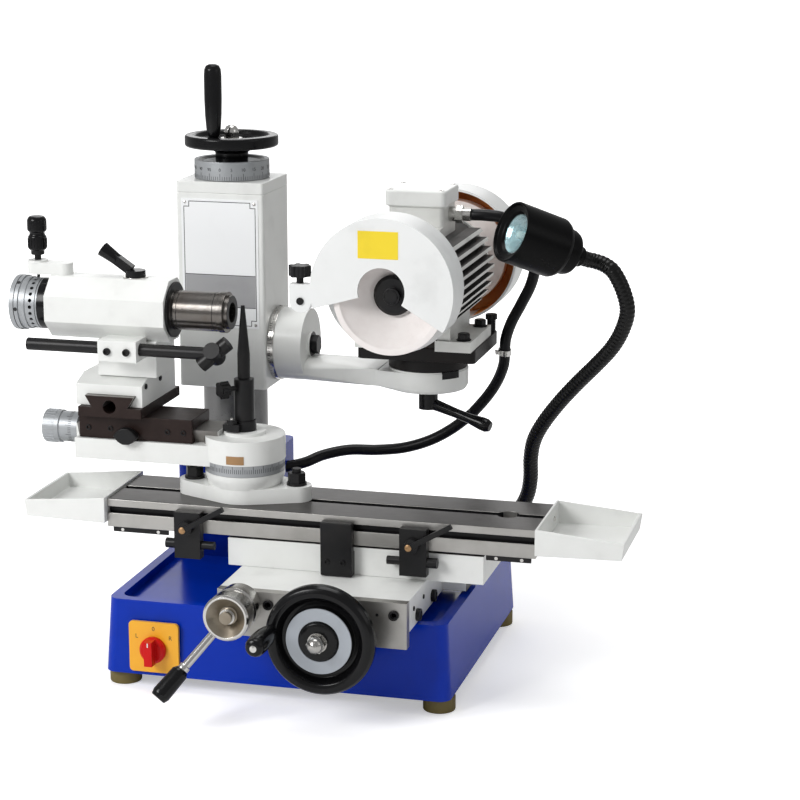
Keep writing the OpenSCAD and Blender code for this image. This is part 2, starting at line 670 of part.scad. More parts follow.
// Turned about the spindle, with height measured towards the operator from y
module on_spindle(y) { translate([swivel_x, y, spindle_z]) rotate([90, 0, 0]) children(); }
module cup_wheel() color([0.92, 0.86, 0.85]) on_spindle(cup_y1) turned([[shaft_d / 2, 0], [44, 0],
    [cup_r - 4, cup_h - 16], [cup_r, cup_h], [cup_r - 7, cup_h], [26, 13], [shaft_d / 2, 13]]);
module wheel_flange() color([0.10, 0.10, 0.11]) on_spindle(cup_y1 - 13) turned([[shaft_d / 2, 0],
    [24, 0], [24, 6], [20, 9], [10, 9], [10, 16], [0, 16], [0, 9.8], [shaft_d / 2, 7]]);
module rear_wheel() color([0.88, 0.83, 0.82]) on_spindle(rear_wheel_y) turned([[shaft_d / 2, 0],
    [rear_wheel_d / 2, 0], [rear_wheel_d / 2, 18], [shaft_d / 2, 18]]);
module rear_guard() color([0.88, 0.87, 0.87]) {
    on_spindle(rear_y1) turned([[0, 0], [guard_r, 0], [guard_r, rear_depth],
        [guard_r - guard_wall, rear_depth], [guard_r - guard_wall, guard_wall], [0, guard_wall]]);
    block(swivel_x - 20, swivel_x + 20, column_y + plate_d / 2 - 2, rear_y1 - rear_depth + 6,
        plate_top + 0.3, plate_top + 4);
    block(swivel_x - 20, swivel_x + 20, column_y + plate_d / 2, column_y + plate_d / 2 + 4,
        plate_z0 + 2, plate_top + 4);
}

// ---- cross slide -----------------------------------------------------------------------

module pinion_pocket(w) rod_y(pinion_r + 4, pinion_y - w, pinion_y + w, pinion_x, pinion_z);
module cross_slide() color([0.92, 0.93, 0.92]) {
    hw = way_w / 2 + gap;
    difference() {
        union() {
            block(slide_x0, slide_x1, slide_y0, slide_y1, slide_z, slide_top);
            block(slide_x0 - 8, slide_x0 + 1, pinion_y - 10, pinion_y + 10, slide_z, slide_top);
        }
        translate([cross_x, slide_y1 + cut, 0]) rotate([90, 0, 0])
            linear_extrude(slide_y1 - slide_y0 + 2 * cut)
            polygon([[-hw + 6, slide_z - cut], [hw - 6, slide_z - cut], [hw - 6, slide_z + 1],
                [hw, way_top + gap], [-hw, way_top + gap], [-hw + 6, slide_z + 1]]);
        pinion_pocket(pinion_w / 2 + 2);
        rod_y(12, slide_y0 - cut, pinion_y, pinion_x, pinion_z);
    }
    for (y = [-180, -108]) rod_x(6, slide_x1, slide_x1 + 4, y, slide_z + 10);
    block(slide_x1, slide_x1 + 30, slide_y1 - 70, slide_y1 - 20, slide_z + 2, slide_z + 30);
}
module saddle() color([0.92, 0.93, 0.92]) difference() {
    union() {
        block(saddle_x0, saddle_x1, saddle_y0, saddle_y1, slide_top, saddle_top);
        block(saddle_x0, saddle_x1, table_y - tongue_w / 2, table_y + tongue_w / 2,
            saddle_top - 1, saddle_top + tongue_h);
    }
    pinion_pocket(pinion_w / 2 + 2);
    block(saddle_x0 - cut, saddle_x1 + cut, pinion_y - pinion_w / 2 - 2, pinion_y + pinion_w / 2 + 2,
        rack_z - 4, saddle_top + cut);
}
module apron() color([0.74, 0.74, 0.73]) difference() {
    block(slide_x0, slide_x1, apron_y, slide_y0, apron_z0, slide_top);
    rod_y(cross_screw_d / 2 + run, apron_y - cut, slide_y0 + cut, cross_x, cross_z);
    rod_y(9 + run, apron_y - cut, slide_y0 + cut, pinion_x, pinion_z);
}
dog_x = 67.5;
dog_w = 38;
module travel_dog() color([0.12, 0.13, 0.14]) {
    y = table_y0 - 1;
    block(dog_x - dog_w / 2, dog_x + dog_w / 2, y - 10, y, slide_top + 1, table_z1 - 6);
    block(dog_x - dog_w / 2, dog_x + dog_w / 2, y - 1, saddle_y0, slide_top + 1, saddle_top - 4);
}
module cross_feed_screw() color([0.72, 0.73, 0.74]) {
    rod_y(cross_screw_d / 2, apron_y - 50, 76, cross_x, cross_z);
    translate([cross_x, apron_y - 50, cross_z]) rotate([90, 0, 0]) {
        cylinder(r = 11, h = 8, $fn = 6);
        translate([0, 0, 8]) turned([[0, 0], [9, 0], [8, 4], [4, 8], [0, 9]]);
    }
}
cross_wheel_y = apron_y - 28;
module at_cross_wheel() translate([cross_x, cross_wheel_y, cross_z]) rotate([90, 0, 0]) children();
cross_grip_r = cross_wheel_d / 2 - 9;
cross_grip_turn = 170;
module cross_handwheel() color([0.06, 0.06, 0.06]) {
    r = cross_wheel_d / 2;
    b = cross_screw_d / 2;
    difference() {
        at_cross_wheel() union() {
            turned([[b, -27], [38, -27], [38, -12], [b, -12]]);
            turned([[b, -12.5], [24, -12.5], [24, -4], [r - 14, 2], [r - 6, 0], [r, 4], [r, 15],
                [r - 4, 19], [r - 12, 18], [r - 16, 10], [37, 6], [37, 16], [22, 17], [21, 20], [b, 20]]);
        }
        at_cross_wheel() rotate(cross_grip_turn) translate([cross_grip_r, 0, 0])
            cylinder(r = 4 + run, h = 40);
    }
}
module cross_grip() color([0.05, 0.05, 0.05]) at_cross_wheel() rotate(cross_grip_turn)
    translate([cross_grip_r, 0, 0]) {
    translate([0, 0, 3]) cylinder(r = 4, h = 18);
    translate([0, 0, 19.4]) turned([[0, 0], [6.5, 0], [12, 30], [12, 58], [9, 66], [0, 66]]);
}

// ---- table feed lever ------------------------------------------------------------------

module at_pinion(y) translate([pinion_x, y, pinion_z]) rotate([90, 0, 0]) children();
lever_turn = 232;
lever_tilt = 59;
module at_lever() at_pinion(apron_y - 28) rotate(lever_turn) rotate([0, lever_tilt, 0]) children();
module feed_pinion() color([0.66, 0.67, 0.68]) difference() {
    feed_hub();
    at_lever() translate([0, 0, 20]) cylinder(r = 5 + run, h = 60);
}
module feed_hub() {
    at_pinion(pinion_y + pinion_w / 2) rotate(90 + 180 / pinion_teeth)
        gear(pinion_teeth, gear_module, pinion_w);
    rod_y(9, apron_y - hub_len + 6, pinion_y, pinion_x, pinion_z);
    at_pinion(apron_y - 0.4) turned([[8, 0], [25, 0], [25, 10], [hub_d / 2 - 1, 12],
        [hub_d / 2 - 1, 22], [hub_d / 2 - 3, 24], [hub_d / 2 - 3, 30], [hub_d / 2, 34],
        [hub_d / 2, hub_len - 2], [hub_d / 2 - 2, hub_len], [hub_d / 2 - 4, hub_len],
        [10, hub_len - 12], [8, hub_len - 12]]);
    at_pinion(apron_y - hub_len + 8) cylinder(r = 7.5, h = 8);
}
module feed_lever() color([0.55, 0.56, 0.55]) at_lever() {
    translate([0, 0, 20.3]) cylinder(r = 5, h = lever_len - 61);
    translate([0, 0, lever_len - 42]) turned([[0, 0], [7, 0], [10, 5], [11, 36], [9, 42], [0, 42]]);
}

// ---- table -----------------------------------------------------------------------------

module table() color([0.45, 0.43, 0.41]) {
    s = slot_w / 2;
    f = slot_foot_w / 2;
    difference() {
        block(table_x0, table_x1, table_y0, table_y1, table_z0, table_z1);
        block(table_x0 - cut, table_x1 + cut, table_y - s, table_y + s,
            table_z1 - slot_depth + 2, table_z1 + cut);
        block(table_x0 - cut, table_x1 + cut, table_y - f, table_y + f,
            table_z1 - slot_depth, table_z1 - slot_depth + 7);
        rod_z(13.3, table_z1 - slot_depth, table_z1 + cut, table_x1 - 44, table_y);
        block(table_x0 - cut, table_x1 + cut, table_y - tongue_w / 2 - gap, table_y + tongue_w / 2 + gap,
            table_z0 - cut, saddle_top + tongue_h + gap);
        block(table_x0 - cut, table_x1 + cut, table_y0 - cut, table_y0 + front_groove_d,
            front_groove_z, front_groove_z + front_groove_h);
        block(table_x0 - cut, table_x1 + cut, table_y0 + front_groove_d - 4, table_y0 + front_groove_d,
            front_groove_z - 3, front_groove_z + front_groove_h + 3);
    }
}
rack_len = 210;
module table_rack() color([0.5, 0.5, 0.5]) {
    pitch = PI * gear_module;
    n = floor(rack_len / pitch);
    x0 = pinion_x - 126;
    m = gear_module;
    first = ceil((x0 + m - pinion_x) / pitch);
    translate([0, pinion_y + pinion_w / 2, 0]) rotate([90, 0, 0]) linear_extrude(pinion_w) union() {
        translate([x0, rack_z + 1.1 * m]) square([rack_len, table_z0 - rack_z - 1.1 * m]);
        for (i = [first:first + n - 2]) translate([pinion_x + i * pitch, rack_z])
            polygon([[-0.33 * pitch, 1.15 * m], [-0.13 * pitch, -0.8 * m], [0.13 * pitch, -0.8 * m],
                [0.33 * pitch, 1.15 * m]]);
    }
}
// Shallow sheet tray that falls away from the table's end; dir is +1 on the right
module tray(dir, x) translate([x, table_y + tray_w / 2, 0]) rotate([90, 0, 0])
    mirror([dir < 0 ? 1 : 0, 0, 0]) {
    outer = [[0, table_z1 - 28], [tray_len, table_z1 - 26], [tray_len + 3, table_z1 - 6], [0, table_z1 + 3]];
    difference() {
        linear_extrude(tray_w) polygon(outer);
        translate([0, 0, tray_wall]) linear_extrude(tray_w - 2 * tray_wall)
            polygon([[tray_wall, outer[0][1] + tray_wall], [tray_len - tray_wall, outer[1][1] + tray_wall],
                [tray_len, table_z1 + 9], [tray_wall, table_z1 + 9]]);
    }
}
module table_trays() color([0.93, 0.93, 0.92]) {
    tray(1, table_x1 + 0.2);
    tray(-1, table_x0 - 0.2);
}
// Adjustable stop in the table's front groove, with its screw towards the travel dog
module table_stop(x, w, dir) {
    y = table_y0 - 0.5;
    block(x - w / 2, x + w / 2, y - 13, y, table_z1 - 62, table_z1 - 6);
    block(x - 8, x + 8, y - 1, table_y0 + front_groove_d - 4.3, front_groove_z + 0.3,
        front_groove_z + front_groove_h - 0.3);
    rod_x(5, dir > 0 ? x + w / 2 - 1 : x - w / 2 - 16, dir > 0 ? x + w / 2 + 16 : x - w / 2 + 1,
        y - 6.5, table_z1 - 46);
    rod_x(6, dir > 0 ? x - w / 2 - 12 : x + w / 2 - 1, dir > 0 ? x - w / 2 + 1 : x + w / 2 + 12,
        y - 6.5, table_z1 - 46);
    rod_y(8, y - 20, y - 12, x, table_z1 - 24);
    translate([x, y - 15, table_z1 - 24]) rotate([0, 60, 0]) translate([-3, -7, 0]) cube([6, 6, 54]);
}
stop_w = 32;
stop_left_in = 105;
stop_right_in = 141;
stop_left_x = table_x - table_len / 2 + stop_left_in;
stop_right_x = table_x + table_len / 2 - stop_right_in;
module stop_left() color([0.10, 0.11, 0.12]) table_stop(stop_left_x, stop_w, 1);
module stop_right() color([0.10, 0.11, 0.12]) table_stop(stop_right_x, stop_w, -1);

// ---- workhead --------------------------------------------------------------------------

bolt_reach = 64;
module at_swing() translate([swing_x, table_y, 0]) children();
module swivel_foot() color([0.93, 0.94, 0.93]) difference() {
    union() {
        hull() for (s = [-1, 1]) {
            translate([swing_x + s * bolt_reach, table_y, table_z1 + gap])
                cylinder(r = 18, h = 18 - gap, $fn = 32);
            translate([swing_x, table_y, table_z1 + gap])
                cylinder(r = swing_r - 5, h = 18 - gap, $fn = 48);
        }
        translate([swing_x, table_y, table_z1 + 17]) turned([[0, 0], [swing_r - 5, 0],
            [swing_r - 1, swing_foot_h - 22], [swing_r - 1, swing_foot_h - 17], [0, swing_foot_h - 17]]);
    }
    at_swing() rod_z(20 + run, table_z1 + 18, foot_z1 + cut, 0, 0);
    for (s = [-1, 1]) rod_z(6.5, table_z1 - cut, table_z1 + 19, swing_x + s * bolt_reach, table_y);
}
module foot_bolts() color([0.12, 0.12, 0.13]) for (s = [-1, 1])
    translate([swing_x + s * bolt_reach, table_y, 0]) {
        rod_z(slot_w / 2 - 0.5, table_z1 - slot_depth + 6, table_z1 + 38, 0, 0);
        block(-9, 9, -slot_foot_w / 2 + 0.5, slot_foot_w / 2 - 0.5,
            table_z1 - slot_depth + 0.2, table_z1 - slot_depth + 6.5);
        rod_z(12, table_z1 + 18, table_z1 + 21, 0, 0);
        translate([0, 0, table_z1 + 21]) cylinder(r = 11, h = 12, $fn = 6);
    }
module swing_arm() color([0.93, 0.94, 0.93]) {
    hw = swing_arm_w / 2;
    at_swing() {
        rod_z(20, table_z1 + 20, foot_z1 + 1, 0, 0);
        rod_z(swing_r - 1, foot_z1 + 0.3, ring_z1, 0, 0);
        rod_z(swing_r, ring_z1, swing_top, 0, 0);
        rod_z(25, swing_top, swing_top + 4, 0, 0);
    }
    difference() {
        union() {
            block(swing_arm_x0, swing_x, table_y - hw, table_y + hw, swing_arm_z0, swing_arm_z1);
            translate([swing_arm_x0, table_y, 0]) rotate([90, 0, 90]) linear_extrude(178)
                polygon([[-20, swing_arm_z1 - 1], [20, swing_arm_z1 - 1], [26, swing_arm_z1 + 16],
                    [-26, swing_arm_z1 + 16]]);
            block(swing_arm_x0 - 4, swing_arm_x0 + 0.5, table_y - 19, table_y + 19,
                swing_arm_z0, swing_arm_z1 + 14);
        }
        rod_x(6 + run, swing_arm_x0 - 5, swing_arm_x0 + 180, table_y, slide_screw_z());
    }
}
function slide_screw_z() = swing_arm_z1 + 4;
lower_x0 = -262;
lower_x1 = -119;
module lower_slide() color([0.27, 0.18, 0.16]) difference() {
    block(lower_x0, lower_x1, table_y - 31, table_y + 31, swing_arm_z1 + gap, lower_z1);
    translate([lower_x0 - cut, table_y, 0]) rotate([90, 0, 90]) linear_extrude(lower_x1 - lower_x0 + 2 * cut)
        polygon([[-20 - gap, swing_arm_z1 - 1], [20 + gap, swing_arm_z1 - 1],
            [26 + gap, swing_arm_z1 + 16 + gap], [-26 - gap, swing_arm_z1 + 16 + gap]]);
}
module slide_screw() color([0.66, 0.67, 0.68]) {
    z = slide_screw_z();
    rod_x(6, swing_arm_x0 - 5, swing_x - swing_r - 6, table_y, z);
    rod_x(18.5, swing_arm_x0 - 28, swing_arm_x0 - 4.3, table_y, z);
    rod_x(20, swing_arm_x0 - 49, swing_arm_x0 - 28, table_y, z);
}
way_block_y0 = -127;
way_block_y1 = 6;
way_cx = (bracket_x0 + bracket_x1) / 2 + 3;
module cross_way_block() color([0.27, 0.18, 0.16]) difference() {
    union() {
        block(way_cx - 40, way_cx + 40, way_block_y0, way_block_y1, lower_z1, way_block_z1);
        translate([way_cx, way_block_y1, 0]) rotate([90, 0, 0]) linear_extrude(way_block_y1 - way_block_y0)
            polygon([[-22, way_block_z1 - 1], [22, way_block_z1 - 1], [31, dovetail_z1], [-31, dovetail_z1]]);
    }
    rod_y(8, way_block_y0 - cut, way_block_y0 + 90, way_cx, way_block_z1 + 1);
}
module head_bracket() color([0.93, 0.94, 0.93]) {
    y0 = way_block_y0 + 8;
    y1 = way_block_y1 - 12;
    difference() {
        translate([bracket_x0, 0, 0]) rotate([90, 0, 90]) linear_extrude(bracket_x1 - bracket_x0)
            polygon([[y0, way_block_z1 + gap], [y1, way_block_z1 + gap], [y1, bracket_z1],
                [y0 + 26, bracket_z1], [y0, bracket_z1 - 9]]);
        translate([way_cx, y1 + cut, 0]) rotate([90, 0, 0]) linear_extrude(y1 - y0 + 2 * cut)
            polygon([[-22 - gap, way_block_z1 - 1], [22 + gap, way_block_z1 - 1],
                [31 + 1.5 * gap, dovetail_z1 + gap], [-31 - 1.5 * gap, dovetail_z1 + gap]]);
    }
    block(-240, -166, work_y - 20, work_y + 42, bracket_z1 - 1, work_z - house_r);
}
index_r = 30.5;
module octagon(w) { polygon([for (k = [0:7]) w / 2 / cos(22.5) * [cos(22.5 + 45 * k), sin(22.5 + 45 * k)]]); }
plunger_x = -321;
module spindle_housing() color([0.93, 0.94, 0.93]) difference() {
    union() {
        translate([house_x0, work_y, work_z]) rotate([90, 0, 90]) linear_extrude(house_x1 - house_x0)
            octagon(house_w);
        block(-226, -178, rod_y - 14, work_y - 20, rod_z - 13, rod_z + 12);
        slab(plunger_x - 12, plunger_x + 44, work_y - 11, work_y + 11,
            work_z + house_r, work_z + house_r + 14, 10);
        rod_z(12, work_z + house_r + 13, work_z + house_r + 16, plunger_x, work_y);
    }
    rod_x(spindle_r + run, house_x0 - cut, house_x1 + cut, work_y, work_z);
    rod_x(rod_d / 2 + run, -290, -100, rod_y, rod_z);
    rod_z(4 + run, work_z + house_r - cut, work_z + house_r + 30, plunger_x, work_y);
    rod_z(5 + run, work_z + house_r - 9, work_z + house_r + cut, -197, work_y);
}
module work_spindle() color([0.62, 0.60, 0.58]) difference() {
    union() {
        rod_x(spindle_r, house_x0 - 45, house_x1 + 4, work_y, work_z);
        rod_x(33, house_x1 + seat, house_x1 + 3, work_y, work_z);
        rod_x(nose_d / 2, house_x1 + 2, house_x1 + 60, work_y, work_z);
        rod_x(nose_d / 2 + 1, house_x1 + 60, house_x1 + 68, work_y, work_z);
        rod_x(20, house_x1 + 67, house_x1 + 73, work_y, work_z);
    }
    rod_x(collet_d / 2, house_x0 - 46, house_x1 + 74, work_y, work_z);
}
module index_disc() color([0.55, 0.57, 0.58]) difference() {
    union() {
        rod_x(index_r + 2.5, house_x0 - 47, house_x0 - 36, work_y, work_z);
        rod_x(index_r + 1, house_x0 - 37, house_x0 - 28, work_y, work_z);
        rod_x(index_r, house_x0 - 29, house_x0 - 0.4, work_y, work_z);
    }
    rod_x(spindle_r, house_x0 - 48, house_x0, work_y, work_z);
    for (k = [0:23]) translate([plunger_x, work_y, work_z]) rotate([15 * k, 0, 0])
        translate([0, 0, index_r - 6]) cylinder(r = 2.2, h = 8, $fn = 16);
}
module index_plunger() color([0.05, 0.05, 0.05]) translate([plunger_x, work_y, 0]) {
    z = work_z + house_r + 22.3;
    rod_z(4, work_z + house_r + 0.5, z + 1, 0, 0);
    rod_z(1.9, work_z + index_r + 0.6, work_z + house_r + 1, 0, 0);
    translate([0, 0, z]) turned([[0, 0], [8, 0], [8, 5], [11, 7], [11, 22], [9, 24], [9, 27], [11.5, 29],
        [11.5, 42], [9, 46], [0, 46]]);
}
module housing_lever() color([0.07, 0.07, 0.07]) {
    z = work_z + house_r;
    rod_z(5, z - 8, z + 4, -197, work_y);
    rod_z(12, z + seat, z + 9, -197, work_y);
    translate([-203, work_y, z + 9]) rotate([0, -56, 0]) {
        translate([-5.5, -6, -1]) cube([11, 12, 26]);
        translate([0, 0, 20]) cylinder(r1 = 7, r2 = 9, h = 22);
    }
}
rest_len = 150;
module rest_rod() color([0.06, 0.06, 0.07]) {
    rod_x(rod_d / 2, -320, -84, rod_y, rod_z);
    translate([-86, rod_y, rod_z]) {
        rotate([60, 0, 0]) cylinder(r = 10, h = 26, center = true);
        rotate([0, 50, 12]) cylinder(r = 9, h = 42, center = true);
    }
}
module tooth_rest() color([0.15, 0.15, 0.16]) {
    z = swing_top + 4;
    at_swing() translate([0, 0, z + 0.3]) {
        turned([[0, 0], [14, 0], [14, 12], [12, 12], [12, 62], [7.5, 63], [7.5, rest_len - 58],
            [2.2, rest_len], [0, rest_len]]);
        translate([-14, -17, 52]) rotate([90, 0, -40]) cylinder(r = 8, h = 12);
        translate([-6, -7, 52]) rotate([90, 0, -40]) cylinder(r = 3, h = 16);
        translate([-20, -22, 2]) cube([20, 14, 8]);
    }
}

base_casting();
base_feet();
cross_ways();
column_post();
elevation_nut();
switch_plate();
switch_knob();
lamp_gooseneck();
lamp_shade();
motor_cable_lower();
head_housing();
head_cap();
elevation_screw();
elevation_dial();
elevation_handwheel();
elevation_grip();
wheelhead_arm();
arm_scale_ring();
arm_clamp_lever();
motor_plate();
motor_frame();
motor_end_bells();
terminal_box();
terminal_cover();
cable_gland();
motor_cable_upper();
rear_guard();
front_guard();
motor_shaft();
cup_wheel();
wheel_flange();
rear_wheel();
cross_slide();
saddle();
apron();
travel_dog();
cross_feed_screw();
cross_handwheel();
cross_grip();
feed_pinion();
feed_lever();
table();
table_rack();
table_trays();
stop_left();
stop_right();
swivel_foot();
foot_bolts();
swing_arm();
lower_slide();
slide_screw();
cross_way_block();
head_bracket();
spindle_housing();
work_spindle();
index_disc();
index_plunger();
housing_lever();
rest_rod();
tooth_rest();
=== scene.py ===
"""Dresses the bench tool and cutter grinder: finishes, fasteners, scales, cable, lamp and studio."""

import logging
import math
from dataclasses import dataclass, field
from enum import Enum
from typing import Callable, NamedTuple, Optional, Sequence

import bmesh
import bpy
from mathutils import Matrix, Vector


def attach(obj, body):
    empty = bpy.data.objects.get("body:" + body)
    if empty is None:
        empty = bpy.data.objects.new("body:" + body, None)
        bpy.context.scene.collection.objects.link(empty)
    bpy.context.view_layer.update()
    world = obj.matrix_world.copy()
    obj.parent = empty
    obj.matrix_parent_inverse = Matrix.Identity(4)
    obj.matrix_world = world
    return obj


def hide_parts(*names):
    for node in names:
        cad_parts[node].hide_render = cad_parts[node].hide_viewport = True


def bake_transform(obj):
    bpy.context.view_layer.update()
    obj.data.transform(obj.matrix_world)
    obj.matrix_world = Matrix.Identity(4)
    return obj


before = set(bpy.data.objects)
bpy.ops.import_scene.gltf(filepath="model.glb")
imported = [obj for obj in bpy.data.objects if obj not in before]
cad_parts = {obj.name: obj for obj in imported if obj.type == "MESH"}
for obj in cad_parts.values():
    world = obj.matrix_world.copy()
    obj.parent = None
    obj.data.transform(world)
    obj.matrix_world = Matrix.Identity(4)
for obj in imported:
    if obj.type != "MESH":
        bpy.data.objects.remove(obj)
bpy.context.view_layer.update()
LOG = logging.getLogger("grinder")

MM = 0.001  # one millimetre in metres; sizes and places below are in millimetres
MERGE = 2e-3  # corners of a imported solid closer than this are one
SPIN_MERGE = 1e-4  # the same for a form that was just spun
FLAT = math.radians(0.4)  # packed faces that meet at less than this are one flat face
CRISP = math.radians(32.0)  # edges sharper than this stay crisp when shaded
CURVE_STEPS = 12  # points worked out between two points of a cord's route
FONT_SCALE = 1.4  # size of the font for figures of height 1
INK_DEPTH = 0.05  # how far printed figures stand out, half of it on each side
LONG_TICK = 5  # every so many lines of a scale, one is longer

Point = Sequence[float]
Colour = tuple[float, float, float]
Profile = Sequence[tuple[float, float]]
Route = tuple[tuple[float, float, float], ...]
Zone = tuple[Callable[[Vector, Vector], bool], int]


# ---- finishes ----------------------------------------------------------------------------


class Pattern(NamedTuple):
    """Fine pattern of a surface: its scale, its scale along X beside Y and Z, and that of its patches."""

    scale: float
    stretch: float = 1.0
    patches: float = 26.0


class Grain(Enum):
    """How a surface was made, which sets its fine pattern."""

    ENAMEL = Pattern(240.0)
    GROUND_X = Pattern(900.0, stretch=0.06)
    TURNED = Pattern(700.0)
    MOULDED = Pattern(420.0)
    CAST = Pattern(380.0)
    GRIT = Pattern(1400.0, patches=60.0)


@dataclass(frozen=True)
class Finish:
    """One surface finish of the machine.

    Args:
        name: The material's name.
        colour: Base colour, linear.
        second: Colour of its patches and handling marks, linear.
        grain: How the surface was made.
        roughness: Mean roughness.
        metallic: Share of metal.
        coat: Weight of a clear gloss over it.
        mottle: Share of the second colour.
        relief: Strength of the fine bump.
        grime: Share of dust and oil marks.
        specular: Level of the plain reflection.
    """

    name: str
    colour: Colour
    second: Colour
    grain: Grain
    roughness: float
    metallic: float = 0.0
    coat: float = 0.0
    mottle: float = 0.35
    relief: float = 0.1
    grime: float = 0.2
    specular: float = 0.5


BLUE = Finish("blue_enamel", (0.0, 0.030, 0.41), (0.0, 0.020, 0.30), Grain.ENAMEL, 0.2, coat=0.06,
              mottle=0.2, relief=0.02, specular=0.14)
WHITE = Finish("white_enamel", (0.82, 0.83, 0.81), (0.73, 0.735, 0.715), Grain.ENAMEL, 0.32, coat=0.2,
               relief=0.03, specular=0.4)
GUARD_WHITE = Finish("guard_enamel", (0.84, 0.85, 0.845), (0.77, 0.78, 0.77), Grain.ENAMEL, 0.4, coat=0.1,
                     relief=0.03, specular=0.4)
BLACK_PAINT = Finish("black_enamel", (0.006, 0.006, 0.006), (0.012, 0.012, 0.012), Grain.ENAMEL, 0.34,
                     specular=0.25)
PLATE_BLACK = Finish("swivel_black", (0.007, 0.006, 0.006), (0.02, 0.012, 0.01), Grain.CAST, 0.42,
                     specular=0.25)
BROWN = Finish("brown_enamel", (0.018, 0.0095, 0.008), (0.04, 0.025, 0.021), Grain.GROUND_X, 0.42, 0.2,
               specular=0.25)
# painted shade for the gaps between the motor's fins
FIN_SHADE = Finish("fin_shade", (0.09, 0.088, 0.085), (0.05, 0.048, 0.046), Grain.CAST, 0.6, 0.2, specular=0.2)
FEET = Finish("olive_feet", (0.17, 0.13, 0.035), (0.08, 0.06, 0.02), Grain.CAST, 0.6, 0.1, grime=0.5)
WAYS = Finish("planed_iron", (0.30, 0.29, 0.28), (0.16, 0.14, 0.12), Grain.GROUND_X, 0.42, 0.85, grime=0.35)
# painted shade: a much darker copy of the ground steel that the table's sides have, used for its top
TABLE_TOP_SHADE = Finish("ground_table_shade", (0.078, 0.073, 0.07), (0.045, 0.042, 0.038), Grain.GROUND_X, 0.36, 0.65,
                   mottle=0.5, grime=0.35)
TABLE_SIDE = Finish("ground_edge", (0.46, 0.45, 0.43), (0.28, 0.27, 0.25), Grain.GROUND_X, 0.33, 0.85,
                    grime=0.3)
GROUND = Finish("ground_steel", (0.46, 0.45, 0.43), (0.26, 0.24, 0.21), Grain.TURNED, 0.25, 0.95)
NOSE = Finish("worn_spindle", (0.17, 0.16, 0.15), (0.09, 0.065, 0.05), Grain.TURNED, 0.24, 0.95, mottle=0.6,
              grime=0.4)
CUP = Finish("worn_cup", (0.34, 0.30, 0.24), (0.18, 0.14, 0.10), Grain.TURNED, 0.34, 0.9, mottle=0.5)
POST = Finish("column_steel", (0.19, 0.19, 0.19), (0.11, 0.105, 0.10), Grain.TURNED, 0.3, 0.9)
BRIGHT = Finish("plated_steel", (0.66, 0.65, 0.63), (0.5, 0.48, 0.45), Grain.TURNED, 0.18, 1.0, relief=0.05)
DARK = Finish("blackened_steel", (0.009, 0.009, 0.010), (0.022, 0.020, 0.018), Grain.TURNED, 0.36, 0.2,
              grime=0.3, specular=0.3)
DIAL = Finish("dial_metal", (0.40, 0.415, 0.43), (0.26, 0.275, 0.29), Grain.TURNED, 0.42, 0.5, grime=0.25)
APRON = Finish("brushed_apron", (0.42, 0.41, 0.39), (0.26, 0.25, 0.23), Grain.GROUND_X, 0.36, 0.85,
               mottle=0.5)
BRONZE = Finish("bronze", (0.48, 0.27, 0.08), (0.3, 0.16, 0.05), Grain.TURNED, 0.3, 0.9)
BRASS = Finish("brass", (0.62, 0.42, 0.13), (0.4, 0.25, 0.07), Grain.TURNED, 0.25, 0.95)
COPPER = Finish("copper_plate", (0.40, 0.24, 0.12), (0.25, 0.15, 0.08), Grain.GROUND_X, 0.35, 0.8)
MOTOR = Finish("cast_aluminium", (0.78, 0.785, 0.76), (0.62, 0.62, 0.59), Grain.CAST, 0.42, 0.35, relief=0.14)
PLASTIC = Finish("black_plastic", (0.004, 0.004, 0.0045), (0.008, 0.008, 0.009), Grain.MOULDED, 0.2,
                 relief=0.03, specular=0.25)
CABLE = Finish("cable_sheath", (0.004, 0.004, 0.005), (0.008, 0.008, 0.009), Grain.MOULDED, 0.32,
               specular=0.25)
NECK = Finish("gooseneck_sheath", (0.003, 0.003, 0.003), (0.007, 0.007, 0.007), Grain.MOULDED, 0.28,
              specular=0.25)
SHADE = Finish("lamp_enamel", (0.002, 0.002, 0.0022), (0.004, 0.004, 0.0045), Grain.ENAMEL, 0.3, specular=0.1)
YELLOW = Finish("switch_yellow", (0.90, 0.44, 0.02), (0.75, 0.34, 0.015), Grain.MOULDED, 0.35, mottle=0.2)
LABEL = Finish("label_yellow", (0.90, 0.68, 0.02), (0.75, 0.55, 0.02), Grain.MOULDED, 0.4, mottle=0.15)
RED = Finish("switch_red", (0.62, 0.004, 0.004), (0.45, 0.003, 0.004), Grain.MOULDED, 0.3, coat=0.05,
             specular=0.2)
GRIT = Finish("abrasive", (0.88, 0.835, 0.815), (0.78, 0.71, 0.69), Grain.GRIT, 0.85, relief=0.5)
ORANGE = Finish("guard_lining", (0.72, 0.26, 0.045), (0.45, 0.14, 0.02), Grain.CAST, 0.45)
NAMEPLATE = Finish("nameplate", (0.90, 0.91, 0.92), (0.86, 0.87, 0.88), Grain.MOULDED, 0.4, mottle=0.1,
                   relief=0.01, grime=0.05, specular=0.3)
BAND = Finish("nameplate_band", (0.36, 0.36, 0.37), (0.30, 0.30, 0.31), Grain.MOULDED, 0.4, mottle=0.2)
RING_GREY = Finish("wheel_ring", (0.40, 0.43, 0.47), (0.32, 0.34, 0.37), Grain.TURNED, 0.35, 0.4)
INK = Finish("scale_ink", (0.012, 0.012, 0.014), (0.02, 0.02, 0.02), Grain.MOULDED, 0.6)
CREAM = Finish("scale_fill", (0.80, 0.80, 0.76), (0.7, 0.7, 0.66), Grain.MOULDED, 0.5)
REFLECTOR = Finish("reflector", (0.80, 0.82, 0.84), (0.7, 0.72, 0.74), Grain.TURNED, 0.12, 1.0)


